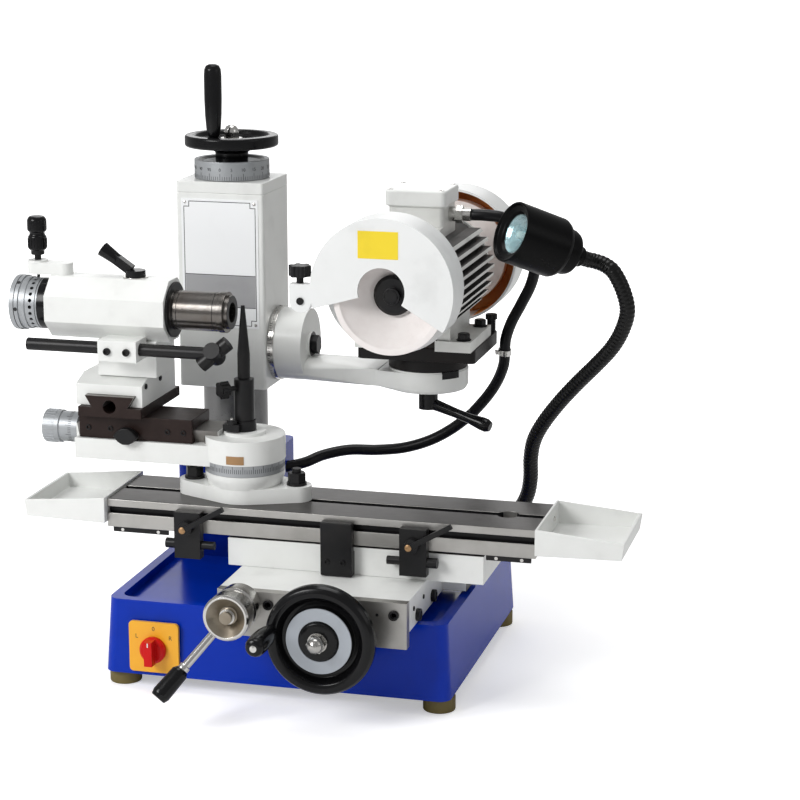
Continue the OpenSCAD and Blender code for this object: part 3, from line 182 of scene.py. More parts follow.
def surface_group() -> bpy.types.ShaderNodeTree:
    """Builds the shared effect of patches, fine grain and dust once.

    Returns:
        A node group that puts out a patch mask, a dust mask, a roughness and a height.
    """
    name = "surface_variation"
    if name in bpy.data.node_groups:
        return bpy.data.node_groups[name]
    group = bpy.data.node_groups.new(name, "ShaderNodeTree")
    for label in ("Vector", "Stretch"):
        group.interface.new_socket(name=label, in_out="INPUT", socket_type="NodeSocketVector")
    for label, value in (("Patch Scale", 18.0), ("Grain Scale", 900.0), ("Roughness", 0.4), ("Spread", 0.1)):
        socket = group.interface.new_socket(name=label, in_out="INPUT", socket_type="NodeSocketFloat")
        socket.default_value = value
    for label in ("Patch", "Dust", "Roughness", "Height"):
        group.interface.new_socket(name=label, in_out="OUTPUT", socket_type="NodeSocketFloat")
    nodes, links = group.nodes, group.links
    source, sink = nodes.new("NodeGroupInput"), nodes.new("NodeGroupOutput")
    stretched = nodes.new("ShaderNodeVectorMath")
    stretched.operation = "MULTIPLY"
    links.new(source.outputs["Vector"], stretched.inputs[0])
    links.new(source.outputs["Stretch"], stretched.inputs[1])

    def noise(scale: str, detail: float, vector: bpy.types.NodeSocket) -> bpy.types.NodeSocket:
        """Adds a noise.

        Args:
            scale: The group's input that holds its scale.
            detail: How many octaves it has.
            vector: Where it is read.

        Returns:
            Its value.
        """
        node = nodes.new("ShaderNodeTexNoise")
        node.inputs["Detail"].default_value = detail
        links.new(source.outputs[scale], node.inputs["Scale"])
        links.new(vector, node.inputs["Vector"])
        return node.outputs["Fac"]

    def mask(value: bpy.types.NodeSocket, low: float, high: float, label: str) -> None:
        """Spreads what a value has between two limits over 0 to 1, and puts it out.

        Args:
            value: The value.
            low: What becomes 0.
            high: What becomes 1.
            label: The group's output.
        """
        node = nodes.new("ShaderNodeMapRange")
        node.inputs["From Min"].default_value = low
        node.inputs["From Max"].default_value = high
        links.new(value, node.inputs["Value"])
        links.new(node.outputs["Result"], sink.inputs[label])

    mask(noise("Patch Scale", 6.0, source.outputs["Vector"]), 0.42, 0.66, "Patch")
    mask(noise("Patch Scale", 8.0, stretched.outputs[0]), 0.58, 0.78, "Dust")
    grain = noise("Grain Scale", 3.0, stretched.outputs[0])
    links.new(grain, sink.inputs["Height"])
    centred = nodes.new("ShaderNodeMath")
    centred.operation = "SUBTRACT"
    centred.inputs[1].default_value = 0.5
    links.new(grain, centred.inputs[0])
    spread = nodes.new("ShaderNodeMath")
    spread.operation = "MULTIPLY_ADD"
    links.new(centred.outputs[0], spread.inputs[0])
    links.new(source.outputs["Spread"], spread.inputs[1])
    links.new(source.outputs["Roughness"], spread.inputs[2])
    links.new(spread.outputs[0], sink.inputs["Roughness"])
    return group


def material(finish: Finish) -> bpy.types.Material:
    """Makes or finds the material of a finish.

    Args:
        finish: The finish to make.

    Returns:
        Its material.
    """
    name = f"finish_{finish.name}"
    found = bpy.data.materials.get(name)
    if found is not None:
        return found
    made = bpy.data.materials.new(name)
    made.use_nodes = True
    nodes, links = made.node_tree.nodes, made.node_tree.links
    shader = nodes["Principled BSDF"]
    place = nodes.new("ShaderNodeTexCoord")
    effect = nodes.new("ShaderNodeGroup")
    effect.node_tree = surface_group()
    pattern = finish.grain.value
    for label, value in (("Stretch", (pattern.stretch, 1, 1)), ("Patch Scale", pattern.patches),
                         ("Grain Scale", pattern.scale), ("Roughness", finish.roughness), ("Spread", 0.16)):
        effect.inputs[label].default_value = value
    links.new(place.outputs["Object"], effect.inputs["Vector"])

    def mixed(under: Colour | bpy.types.NodeSocket, over: Colour, mask: str,
              share: float) -> bpy.types.NodeSocket:
        """Mixes a colour in where a mask of the effect is on.

        Args:
            under: The colour below, or the socket that holds it.
            over: The colour to mix in.
            mask: The effect's output that says where.
            share: How much of it shows where the mask is full.

        Returns:
            The mixed colour.
        """
        weight = nodes.new("ShaderNodeMath")
        weight.operation = "MULTIPLY"
        weight.inputs[1].default_value = share
        links.new(effect.outputs[mask], weight.inputs[0])
        mix = nodes.new("ShaderNodeMix")
        mix.data_type = "RGBA"
        links.new(weight.outputs[0], mix.inputs["Factor"])
        if isinstance(under, tuple):
            mix.inputs["A"].default_value = (*under, 1.0)
        else:
            links.new(under, mix.inputs["A"])
        mix.inputs["B"].default_value = (*over, 1.0)
        return mix.outputs["Result"]

    patched = mixed(finish.colour, finish.second, "Patch", finish.mottle)
    dirt = tuple(0.6 * c + 0.004 for c in finish.colour)
    links.new(mixed(patched, dirt, "Dust", finish.grime), shader.inputs["Base Color"])
    links.new(effect.outputs["Roughness"], shader.inputs["Roughness"])
    for label, value in (("Metallic", finish.metallic), ("Coat Weight", finish.coat),
                         ("Coat Roughness", 0.12), ("Specular IOR Level", finish.specular)):
        shader.inputs[label].default_value = value
    bump = nodes.new("ShaderNodeBump")
    bump.inputs["Strength"].default_value = finish.relief
    bump.inputs["Distance"].default_value = 0.0004
    links.new(effect.outputs["Height"], bump.inputs["Height"])
    links.new(bump.outputs["Normal"], shader.inputs["Normal"])
    return made


def glass() -> bpy.types.Material:
    """Makes the clear front glass of the lamp.

    Returns:
        Its material.
    """
    made = bpy.data.materials.new("lamp_glass")
    made.use_nodes = True
    shader = made.node_tree.nodes["Principled BSDF"]
    for label, value in (("Base Color", (0.55, 0.86, 0.90, 1.0)), ("Roughness", 0.03),
                         ("Transmission Weight", 0.9), ("Alpha", 0.45)):
        shader.inputs[label].default_value = value
    return made


# ---- places ------------------------------------------------------------------------------


def facing(origin: Point, right: Point, up: Point) -> Matrix:
    """Gives a place whose local Z points out of the plane of two directions.

    Args:
        origin: Where local 0 goes.
        right: Direction of local X.
        up: Direction of local Y.

    Returns:
        The place.
    """
    x, y = Vector(right).normalized(), Vector(up).normalized()
    z = x.cross(y)
    return Matrix(((x[0], y[0], z[0], origin[0]), (x[1], y[1], z[1], origin[1]),
                   (x[2], y[2], z[2], origin[2]), (0, 0, 0, 1)))


def front(x: float, y: float, z: float) -> Matrix:
    """Local Z towards the operator."""
    return facing((x, y, z), (1, 0, 0), (0, 0, 1))


def right_side(x: float, y: float, z: float) -> Matrix:
    """Local Z towards +X."""
    return facing((x, y, z), (0, 1, 0), (0, 0, 1))


def left_side(x: float, y: float, z: float) -> Matrix:
    """Local Z towards -X."""
    return facing((x, y, z), (0, -1, 0), (0, 0, 1))


def rear(x: float, y: float, z: float) -> Matrix:
    """Local Z away from the operator."""
    return facing((x, y, z), (-1, 0, 0), (0, 0, 1))


def above(x: float, y: float, z: float) -> Matrix:
    """Local Z upwards."""
    return facing((x, y, z), (1, 0, 0), (0, 1, 0))


def along(origin: Point, direction: Point) -> Matrix:
    """Local Z along any direction."""
    turn = Vector(direction).normalized().to_track_quat("Z", "Y").to_matrix().to_4x4()
    return Matrix.Translation(Vector(origin)) @ turn


def turned_to(origin: Point, degrees: float, axis: str) -> Matrix:
    """Local axes turned about X, Y or Z."""
    return Matrix.Translation(Vector(origin)) @ Matrix.Rotation(math.radians(degrees), 4, axis)


def around(count: int, radius: float, start: float = 0.0) -> list[tuple[float, float]]:
    """Spreads points evenly round a circle.

    Args:
        count: How many points.
        radius: Radius of the circle.
        start: Angle of the first one in degrees.

    Returns:
        Their two coordinates.
    """
    angles = [math.radians(start + 360 * k / count) for k in range(count)]
    return [(radius * math.cos(a), radius * math.sin(a)) for a in angles]


def corners(dx: float, dy: float) -> list[tuple[float, float]]:
    """Gives the four corners of a rectangle about 0."""
    return [(sx * dx, sy * dy) for sx in (-1, 1) for sy in (-1, 1)]


# ---- building ----------------------------------------------------------------------------


def shown(name: str, data: bpy.types.ID) -> bpy.types.Object:
    """Makes an object and puts it in the scene.

    Args:
        name: Its name.
        data: Its mesh, light, camera or curve.

    Returns:
        The object.
    """
    made = bpy.data.objects.new(name, data)
    bpy.context.scene.collection.objects.link(made)
    return made


def smooth_mesh(name: str, bm: bmesh.types.BMesh) -> bpy.types.Mesh:
    """Writes a form in millimetres out as a smooth mesh in metres, and frees it.

    Args:
        name: The mesh's name.
        bm: The form.

    Returns:
        The mesh.
    """
    bmesh.ops.scale(bm, vec=(MM, MM, MM), verts=bm.verts)
    for face in bm.faces:
        face.smooth = True
    mesh = bpy.data.meshes.new(name)
    bm.to_mesh(mesh)
    bm.free()
    return mesh


@dataclass
class Piece:
    """A mesh that grows from turned, sawn and bored forms in mm, and becomes one object.

    Args:
        name: The object's name.
        body: The moving body it rides on.
        finishes: Its finishes, in the order of their slots.
        node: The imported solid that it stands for, if any.
    """

    name: str
    body: str
    finishes: list[Finish]
    node: str = ""
    bm: bmesh.types.BMesh = field(default_factory=bmesh.new)

    def _settle(self, verts: list[bmesh.types.BMVert], place: Matrix, slot: int) -> None:
        """Moves new vertices to their place and gives their faces a slot.

        Args:
            verts: The vertices.
            place: Where their local axes go.
            slot: The finish of their faces.
        """
        bmesh.ops.transform(self.bm, matrix=place, verts=verts)
        for face in {f for v in verts for f in v.link_faces}:
            face.material_index = slot

    def rounded(self, verts: list[bmesh.types.BMVert], size: float, segments: int = 2,
                sharp: float = 30.0) -> list[bmesh.types.BMVert]:
        """Rounds the sharp edges of a form.

        Args:
            verts: The form's vertices.
            size: Width of the rounding; none at 0.
            segments: Flats across it.
            sharp: Edges sharper than this many degrees are rounded.

        Returns:
            The form's vertices after it.
        """
        chosen = set(verts)
        edges = {e for v in verts for e in v.link_edges
                 if e.is_manifold and e.calc_face_angle(0.0) > math.radians(sharp)}
        if not edges or size <= 0:
            return list(chosen)
        others = set(self.bm.verts) - chosen
        bmesh.ops.bevel(self.bm, geom=list(edges), offset=size, offset_type="OFFSET", segments=segments,
                        profile=0.5, affect="EDGES", clamp_overlap=True, material=-1)
        return [v for v in self.bm.verts if v not in others]

    def block(self, low: Point, high: Point, edge: float = 0.8, slot: int = 0,
              place: Optional[Matrix] = None) -> "Piece":
        """Adds a box.

        Args:
            low: Its lowest corner.
            high: Its highest corner.
            edge: Rounding of its edges.
            slot: Its finish.
            place: Where its local axes go, if not at 0.

        Returns:
            The piece itself.
        """
        verts = bmesh.ops.create_cube(self.bm, size=1.0)["verts"]
        bmesh.ops.scale(self.bm, vec=Vector(high) - Vector(low), verts=verts)
        bmesh.ops.translate(self.bm, vec=(Vector(high) + Vector(low)) / 2, verts=verts)
        self._settle(self.rounded(verts, edge), place or Matrix.Identity(4), slot)
        return self

    def prism(self, outline: Profile, place: Matrix, depth: float, edge: float = 0.6,
              slot: int = 0) -> "Piece":
        """Adds a flat outline, raised along local Z.

        Args:
            outline: Its corners in local X and Y.
            place: Where its local axes go.
            depth: How far it is raised.
            edge: Rounding of its edges.
            slot: Its finish.

        Returns:
            The piece itself.
        """
        lower = [self.bm.verts.new((x, y, 0)) for x, y in outline]
        face = self.bm.faces.new(lower)
        raised = bmesh.ops.extrude_face_region(self.bm, geom=[face])["geom"]
        upper = [g for g in raised if isinstance(g, bmesh.types.BMVert)]
        bmesh.ops.translate(self.bm, vec=(0, 0, depth), verts=upper)
        verts = lower + upper
        bmesh.ops.recalc_face_normals(self.bm, faces=list({f for v in verts for f in v.link_faces}))
        self._settle(self.rounded(verts, edge), place, slot)
        return self

    def turned(self, profile: Profile, place: Matrix, steps: int = 48, slot: int = 0,
               edge: float = 0.5) -> "Piece":
        """Adds a form of revolution about local Z.

        Args:
            profile: Its half section as (radius, height) pairs, which starts and ends on the axis or
                comes back to where it starts.
            place: Where its local axes go.
            steps: Flats round the form.
            slot: Its finish.
            edge: Size of the chamfer at each corner of the profile.

        Returns:
            The piece itself.
        """
        others = set(self.bm.verts)
        verts = [self.bm.verts.new((r, 0, h)) for r, h in eased(profile, edge)]
        edges = [self.bm.edges.new(pair) for pair in zip(verts, verts[1:])]
        if profile[0] == profile[-1]:
            edges.append(self.bm.edges.new((verts[-1], verts[0])))
        bmesh.ops.spin(self.bm, geom=verts + edges, cent=(0, 0, 0), axis=(0, 0, 1), angle=2 * math.pi,
                       steps=steps, use_merge=True, use_duplicate=False)
        fresh = [v for v in self.bm.verts if v not in others]
        bmesh.ops.remove_doubles(self.bm, verts=fresh, dist=SPIN_MERGE)
        fresh = [v for v in self.bm.verts if v not in others]
        bmesh.ops.recalc_face_normals(self.bm, faces=list({f for v in fresh for f in v.link_faces}))
        self._settle(fresh, place, slot)
        return self

    def rod(self, radius: float, length: float, place: Matrix, slot: int = 0, edge: float = 0.5,
            steps: int = 32) -> "Piece":
        """Adds a round bar along local Z."""
        return self.turned([(0, 0), (radius, 0), (radius, length), (0, length)], place, steps, slot, edge)

    def hexagon(self, radius: float, length: float, place: Matrix, slot: int = 0) -> "Piece":
        """Adds a six-sided head along local Z, with a round face on top."""
        self.prism(around(6, radius), place, length, 0.4, slot)
        return self.rod(radius * 0.82, 0.5, place @ Matrix.Translation((0, 0, length)), slot, 0.2, 24)

    def socket_screw(self, radius: float, height: float, place: Matrix, slot: int = 0) -> "Piece":
        """Adds a cap screw with a round recess.

        Args:
            radius: Radius of its head.
            height: Height of its head.
            place: Where its local axes go.
            slot: Its finish.

        Returns:
            The piece itself.
        """
        floor = height - radius * 0.5
        return self.turned([(radius, 0), (radius, height), (radius * 0.62, height), (radius * 0.55, floor),
                            (0, floor)], place, 24, slot, radius * 0.09)

    def pan_screw(self, radius: float, place: Matrix, slot: int = 0) -> "Piece":
        """Adds a low domed screw with a cross on it in the piece's last finish.

        Args:
            radius: Its radius.
            place: Where its local axes go.
            slot: Its finish.

        Returns:
            The piece itself.
        """
        h = radius * 0.55
        self.turned([(radius, 0), (radius * 0.97, h * 0.4), (radius * 0.7, h * 0.85), (radius * 0.2, h),
                     (0, h)], place, 20, slot, 0)
        for degrees in (45, 135):
            turn = place @ Matrix.Rotation(math.radians(degrees), 4, "Z")
            self.block((-radius * 0.6, -radius * 0.1, h * 0.8), (radius * 0.6, radius * 0.1, h * 1.04), 0,
                       len(self.finishes) - 1, turn)
        return self

    def ticks(self, place: Matrix, radius: float, count: int, short: float, long: float, slot: int,
              base: float) -> "Piece":
        """Marks a scale of fine lines round a drum about local Z.

        Args:
            place: Where the drum's local axes go.
            radius: Radius of the drum.
            count: How many lines.
            short: Length of a short line.
            long: Length of a long line.
            slot: Finish of the lines.
            base: Height on the drum where the lines start.

        Returns:
            The piece itself.
        """
        for k in range(count):
            turn = place @ Matrix.Rotation(math.radians(360 * k / count), 4, "Z")
            top = base + (short if k % LONG_TICK else long)
            self.block((radius - 0.3, -0.25, base), (radius + 0.12, 0.25, top), 0, slot, turn)
        return self

    def zones(self, *rules: Zone) -> "Piece":
        """Gives faces another slot where a rule on their centre and normal, in mm, holds.

        Args:
            rules: Each a rule and the slot it gives; the last one that holds counts.

        Returns:
            The piece itself.
        """
        for face in self.bm.faces:
            centre = face.calc_center_median()
            for rule, slot in rules:
                if rule(centre, face.normal):
                    face.material_index = slot
        return self

    def made(self) -> bpy.types.Object:
        """Turns the mesh into an object that rides on its body.

        Returns:
            The object.
        """
        mesh = smooth_mesh(self.name, self.bm)
        mesh.set_sharp_from_angle(angle=CRISP)
        made = shown(self.name, mesh)
        for finish in self.finishes:
            mesh.materials.append(material(finish))
        normals = made.modifiers.new("flat_faces", "WEIGHTED_NORMAL")
        normals.keep_sharp = True
        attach(made, self.body)
        if self.node:
            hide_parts(self.node)
        LOG.info("%s rides on %s, %d faces", self.name, self.body, len(mesh.polygons))
        return made


def dressed(node: str, body: str, finishes: list[Finish], edge: float, sharp: float = 30.0,
            segments: int = 2) -> Piece:
    """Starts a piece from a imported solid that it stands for, merged and with rounded edges.

    Args:
        node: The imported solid.
        body: The moving body it rides on.
        finishes: Its finishes, in the order of their slots; the solid has the first.
        edge: Width of the rounding.
        sharp: Edges sharper than this many degrees are rounded.
        segments: Flats across the rounding.

    Returns:
        The piece, to which fasteners and marks can be added.
    """
    piece = Piece(f"{node}_dressed", body, finishes, node)
    bm = piece.bm
    bm.from_mesh(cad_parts[node].data)
    bmesh.ops.scale(bm, vec=(1 / MM, 1 / MM, 1 / MM), verts=bm.verts)
    bmesh.ops.remove_doubles(bm, verts=bm.verts, dist=MERGE)
    bmesh.ops.dissolve_limit(bm, angle_limit=FLAT, use_dissolve_boundaries=False, verts=bm.verts,
                             edges=list({e for v in bm.verts for e in v.link_edges}))
    piece.rounded(list(bm.verts), edge, segments, sharp)
    for face in bm.faces:
        face.material_index = 0
    return piece


def eased(profile: Profile, size: float) -> list[tuple[float, float]]:
    """Rounds the inner corners of a profile.

    Args:
        profile: Points of the half section.
        size: Length cut from each side of a corner.

    Returns:
        The profile with its corners cut.
    """
    if size <= 0 or len(profile) < 3:
        return [tuple(p) for p in profile]
    out = [tuple(profile[0])]
    for before, corner, after in zip(profile, profile[1:], profile[2:]):
        tip = Vector(corner)
        back, on = Vector(before) - tip, Vector(after) - tip
        if back.length < 1e-6 or on.length < 1e-6 or abs(back.angle(on) - math.pi) < 0.35:
            out.append(tuple(corner))
            continue
        cut = min(size, back.length * 0.4, on.length * 0.4)
        first, last = tip + back.normalized() * cut, tip + on.normalized() * cut
        chord = (first + last) / 2
        out += [tuple(first), tuple(chord + (tip - chord) * 0.42), tuple(last)]
    return out + [tuple(profile[-1])]


def lettering(name: str, words: str, size: float, place: Matrix, body: str) -> None:
    """Prints plain figures on a face.

    Args:
        name: The object's name.
        words: The figures.
        size: Their height in mm.
        place: Where they go, local X to the right and local Z out.
        body: The body they ride on.
    """
    curve = bpy.data.curves.new(name, "FONT")
    curve.body = words
    curve.size = size * MM * FONT_SCALE
    curve.align_x = "CENTER"
    curve.align_y = "CENTER"
    curve.extrude = INK_DEPTH * MM
    text = shown(name + "_text", curve)
    bpy.context.view_layer.update()
    mesh = bpy.data.meshes.new_from_object(text.evaluated_get(bpy.context.evaluated_depsgraph_get()))
    bpy.data.objects.remove(text)
    bpy.data.curves.remove(curve)
    mesh.transform(Matrix.Translation(place.translation * MM) @ place.to_3x3().to_4x4())
    mesh.materials.clear()
    mesh.materials.append(material(INK))
    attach(shown(name, mesh), body)


def resampled(points: Sequence[Vector], step: float) -> list[Vector]:
    """Walks a smooth line through points at even distances.

    Args:
        points: The points that it passes through.
        step: About how far apart the new ones are.

    Returns:
        The new points.
    """
    dense: list[Vector] = []
    count = len(points)
    for k in range(count - 1):
        p0, p1 = points[max(k - 1, 0)], points[k]
        p2, p3 = points[k + 1], points[min(k + 2, count - 1)]
        for i in range(CURVE_STEPS):
            t = i / CURVE_STEPS
            dense.append(0.5 * ((2 * p1) + (p2 - p0) * t + (2 * p0 - 5 * p1 + 4 * p2 - p3) * t * t
                                + (3 * p1 - p0 - 3 * p2 + p3) * t ** 3))
    dense.append(points[-1].copy())
    total = length_of(dense)
    rungs = max(2, round(total / step))
    out, walked, k = [dense[0]], 0.0, 0
    for i in range(1, rungs):
        goal = total * i / rungs
        while walked + (dense[k + 1] - dense[k]).length < goal:
            walked += (dense[k + 1] - dense[k]).length
            k += 1
        share = (goal - walked) / (dense[k + 1] - dense[k]).length
        out.append(dense[k].lerp(dense[k + 1], share))
    return out + [dense[-1]]


def length_of(line: Sequence[Vector]) -> float:
    """Adds up the length of a line."""
    return sum((b - a).length for a, b in zip(line, line[1:]))


def swept(name: str, line: list[Vector], radius: Callable[[float], float], sides: int,
          finish: Finish) -> bpy.types.Object:
    """Sweeps a round section of changing size along a line.

    Args:
        name: The object's name.
        line: Where its sections are, in mm.
        radius: Radius in mm at a distance along the line.
        sides: Flats round the section.
        finish: Its finish.

    Returns:
        The object.
    """
    bm = bmesh.new()
    rings: list[list[bmesh.types.BMEdge]] = []
    normal = Vector((0, 0, 1))
    walked = 0.0
    for k, point in enumerate(line):
        ahead = (line[min(k + 1, len(line) - 1)] - line[max(k - 1, 0)]).normalized()
        walked += (point - line[k - 1]).length if k else 0.0
        normal = normal - ahead * normal.dot(ahead)
        normal = normal.normalized() if normal.length > 1e-6 else ahead.orthogonal().normalized()
        turn = Matrix((ahead.cross(normal), normal, ahead)).transposed().to_4x4()
        circle = bmesh.ops.create_circle(bm, cap_ends=k in (0, len(line) - 1), segments=sides,
                                         radius=radius(walked), matrix=Matrix.Translation(point) @ turn)
        rings.append(list({e for v in circle["verts"] for e in v.link_edges}))
    for a, b in zip(rings, rings[1:]):
        bmesh.ops.bridge_loops(bm, edges=a + b)
    bmesh.ops.recalc_face_normals(bm, faces=bm.faces)
    mesh = smooth_mesh(name, bm)
    mesh.materials.append(material(finish))
    return shown(name, mesh)


# ---- sub-assemblies ----------------------------------------------------------------------


@dataclass
class Base:
    """Blue cast base with its feet, ways, post, nut and switch."""

    switch_x: float = -146.0
    switch_z: float = 52.0
    plate_y: float = -188.0
    knob_y: float = -195.5
    mark_size: float = 5.2
    marks: tuple[tuple[str, float, float], ...] = (("0", 0.0, 25.0), ("L", -21.0, 15.0), ("R", 21.0, 15.0))

    def build(self) -> None:
        """Builds the base's pieces."""
        dressed("base_casting", "stand", [BLUE], 2.2, segments=3).made()
        dressed("base_feet", "stand", [FEET], 1.6).made()
        self.switch()
        dressed("cross_ways", "stand", [WAYS], 0.8).made()
        dressed("column_post", "stand", [POST], 0.8).made()
        dressed("elevation_nut", "stand", [BRONZE], 0.6).made()

    def switch(self) -> None:
        """Rotary switch: yellow plate, marks, and red knob with a pale line."""
        dressed("switch_plate", "stand", [YELLOW], 0.8).made()
        for word, dx, dz in self.marks:
            place = front(self.switch_x + dx, self.plate_y - 0.02, self.switch_z + dz)
            lettering(f"switch_mark_{word}", word, self.mark_size, place, "stand")
        knob = dressed("switch_knob", "switch", [RED, CREAM], 1.2, segments=3)
        knob.block((-0.7, 9, 12.9), (0.7, 14, 13.2), 0, 1, front(self.switch_x, self.knob_y, self.switch_z))
        knob.made()


@dataclass
class Column:
    """Sliding head on the post with its nameplate, dial, handwheel and screw."""

    x: float = -137.0
    y: float = 99.0
    front_y: float = 49.0
    plate_w: float = 99.0
    plate_h: float = 160.0
    plate_z: float = 473.0
    notch: float = 6.5
    band_bottom: float = 419.0
    band_top: float = 459.0
    band_inset: float = 4.2
    dial_z: float = 574.5
    dial_r: float = 46.5
    dial_lines: int = 100
    dial_step: int = 5
    wheel_z: float = 613.5
    wheel_r: float = 58.0
    grip_dx: float = -12.0
    grip_dy: float = -32.0

    def build(self) -> None:
        """Builds the head's pieces."""
        for node in ("head_housing", "head_cap"):
            dressed(node, "column_head", [WHITE], 1.6, segments=3).made()
        self.nameplate()
        self.dial()
        self.handwheel()
        dressed("elevation_screw", "lift_wheel", [BRIGHT], 0.6).made()
        self.grip()

    def notched(self, inset: float) -> list[tuple[float, float]]:
        """Gives the nameplate's outline with square notches at its corners.

        Args:
            inset: How far it is set in on all sides.

        Returns:
            Its corners, about the plate's centre.
        """
        w, h, n = self.plate_w / 2 - inset, self.plate_h / 2 - inset, self.notch
        return [(n - w, -h), (w - n, -h), (w - n, n - h), (w, n - h), (w, h - n), (w - n, h - n), (w - n, h),
                (n - w, h), (n - w, h - n), (-w, h - n), (-w, n - h), (n - w, n - h)]

    def nameplate(self) -> None:
        """Blank plate with a notched line round it, a grey band and four screws."""
        plate = Piece("nameplate_blank", "column_head", [NAMEPLATE, BRIGHT, BAND, INK])
        w, h = self.plate_w / 2, self.plate_h / 2
        plate.block((-w, -0.5, -h), (w, 0.5, h), 0.2, 0,
                    Matrix.Translation((self.x, self.front_y - 0.3, self.plate_z)))
        plate.prism(self.notched(3.0), front(self.x, self.front_y - 0.75, self.plate_z), 0.1, 0, 3)
        plate.prism(self.notched(3.9), front(self.x, self.front_y - 0.8, self.plate_z), 0.12, 0, 0)
        reach = w - self.band_inset
        lines = [(z - 0.4, z + 0.4, 0.95, 3) for z in (self.band_bottom, self.band_top)]
        for low, high, out, slot in [(self.band_bottom, self.band_top, 0.9, 2)] + lines:
            plate.block((-reach, -0.1, low), (reach, 0.1, high), 0, slot,
                        Matrix.Translation((self.x, self.front_y - out, 0)))
        for dx, dz in corners(w - 4.6, h - 4.6):
            plate.turned([(2.2, 0), (1.8, 0.8), (0.6, 1.2), (0, 1.2)],
                         front(self.x + dx, self.front_y - 0.7, self.plate_z + dz), 16, 1, 0)
        plate.made()

    def dial(self) -> None:
        """Graduated drum under the handwheel, with its dark top and its numbers."""
        drum = dressed("elevation_dial", "lift_wheel", [DIAL, INK, DARK], 0.8)
        place = above(self.x, self.y, self.dial_z)
        drum.turned([(41, 22.2), (24.5, 14.6), (24.5, 14.9), (41, 22.5), (41, 22.2)], place, 64, 2, 0)
        drum.ticks(place, self.dial_r, self.dial_lines, 4.5, 8.0, 1, 1.0)
        drum.made()
        for k, (dx, dy) in enumerate(around(self.dial_lines // self.dial_step, self.dial_r + 0.1, -90)):
            place = facing((self.x + dx, self.y + dy, self.dial_z + 13.5), (-dy, dx, 0), (0, 0, 1))
            lettering(f"dial_number_{k}", str(self.dial_step * k), 4.0, place, "lift_wheel")

    def handwheel(self) -> None:
        """Dished black handwheel with its washer and domed nut."""
        r = self.wheel_r
        place = above(self.x, self.y, self.wheel_z)
        wheel = Piece("elevation_wheel_dressed", "lift_wheel", [PLASTIC, DARK, BRIGHT], "elevation_handwheel")
        wheel.turned([(9, -23), (20, -23), (20.5, -8), (26, -4.5), (r - 15, -0.5), (r - 8, -1.2),
                      (r - 2, -0.6), (r, 1.4), (r, 11.6), (r - 1.6, 13.6), (r - 10, 14), (r - 12.5, 12.4),
                      (r - 14.5, 8), (r - 20, 5.6), (22, 4), (20, 7.5), (9, 8), (9, -23)], place, 96, 0, 0.9)
        wheel.turned([(13.5, 8), (13.5, 9.4), (9, 9.4), (9, 8), (13.5, 8)], place, 32, 2, 0.2)
        wheel.hexagon(10.0, 7.5, above(self.x, self.y, self.wheel_z + 9.2), 2)
        wheel.turned([(8.6, 0), (8.4, 3), (6.6, 6.4), (3.2, 8.4), (0, 8.8)],
                     above(self.x, self.y, self.wheel_z + 16.6), 24, 2, 0)
        wheel.made()

    def grip(self) -> None:
        """Upright grip on its pin."""
        x, y = self.x + self.grip_dx, self.y + self.grip_dy
        grip = Piece("elevation_grip_dressed", "lift_grip", [PLASTIC, BRIGHT], "elevation_grip")
        grip.turned([(0, 6.4), (5.2, 6.4), (6, 10), (6.2, 14), (7.6, 15), (9, 24), (10.2, 40), (10.8, 60),
                     (10.8, 88), (10.2, 96), (8, 100.5), (4, 102.3), (0, 102.4)],
                    above(x, y, self.wheel_z), 40, 0, 1.0)
        grip.rod(4, 8, above(x, y, self.wheel_z + 1), 1)
        grip.made()


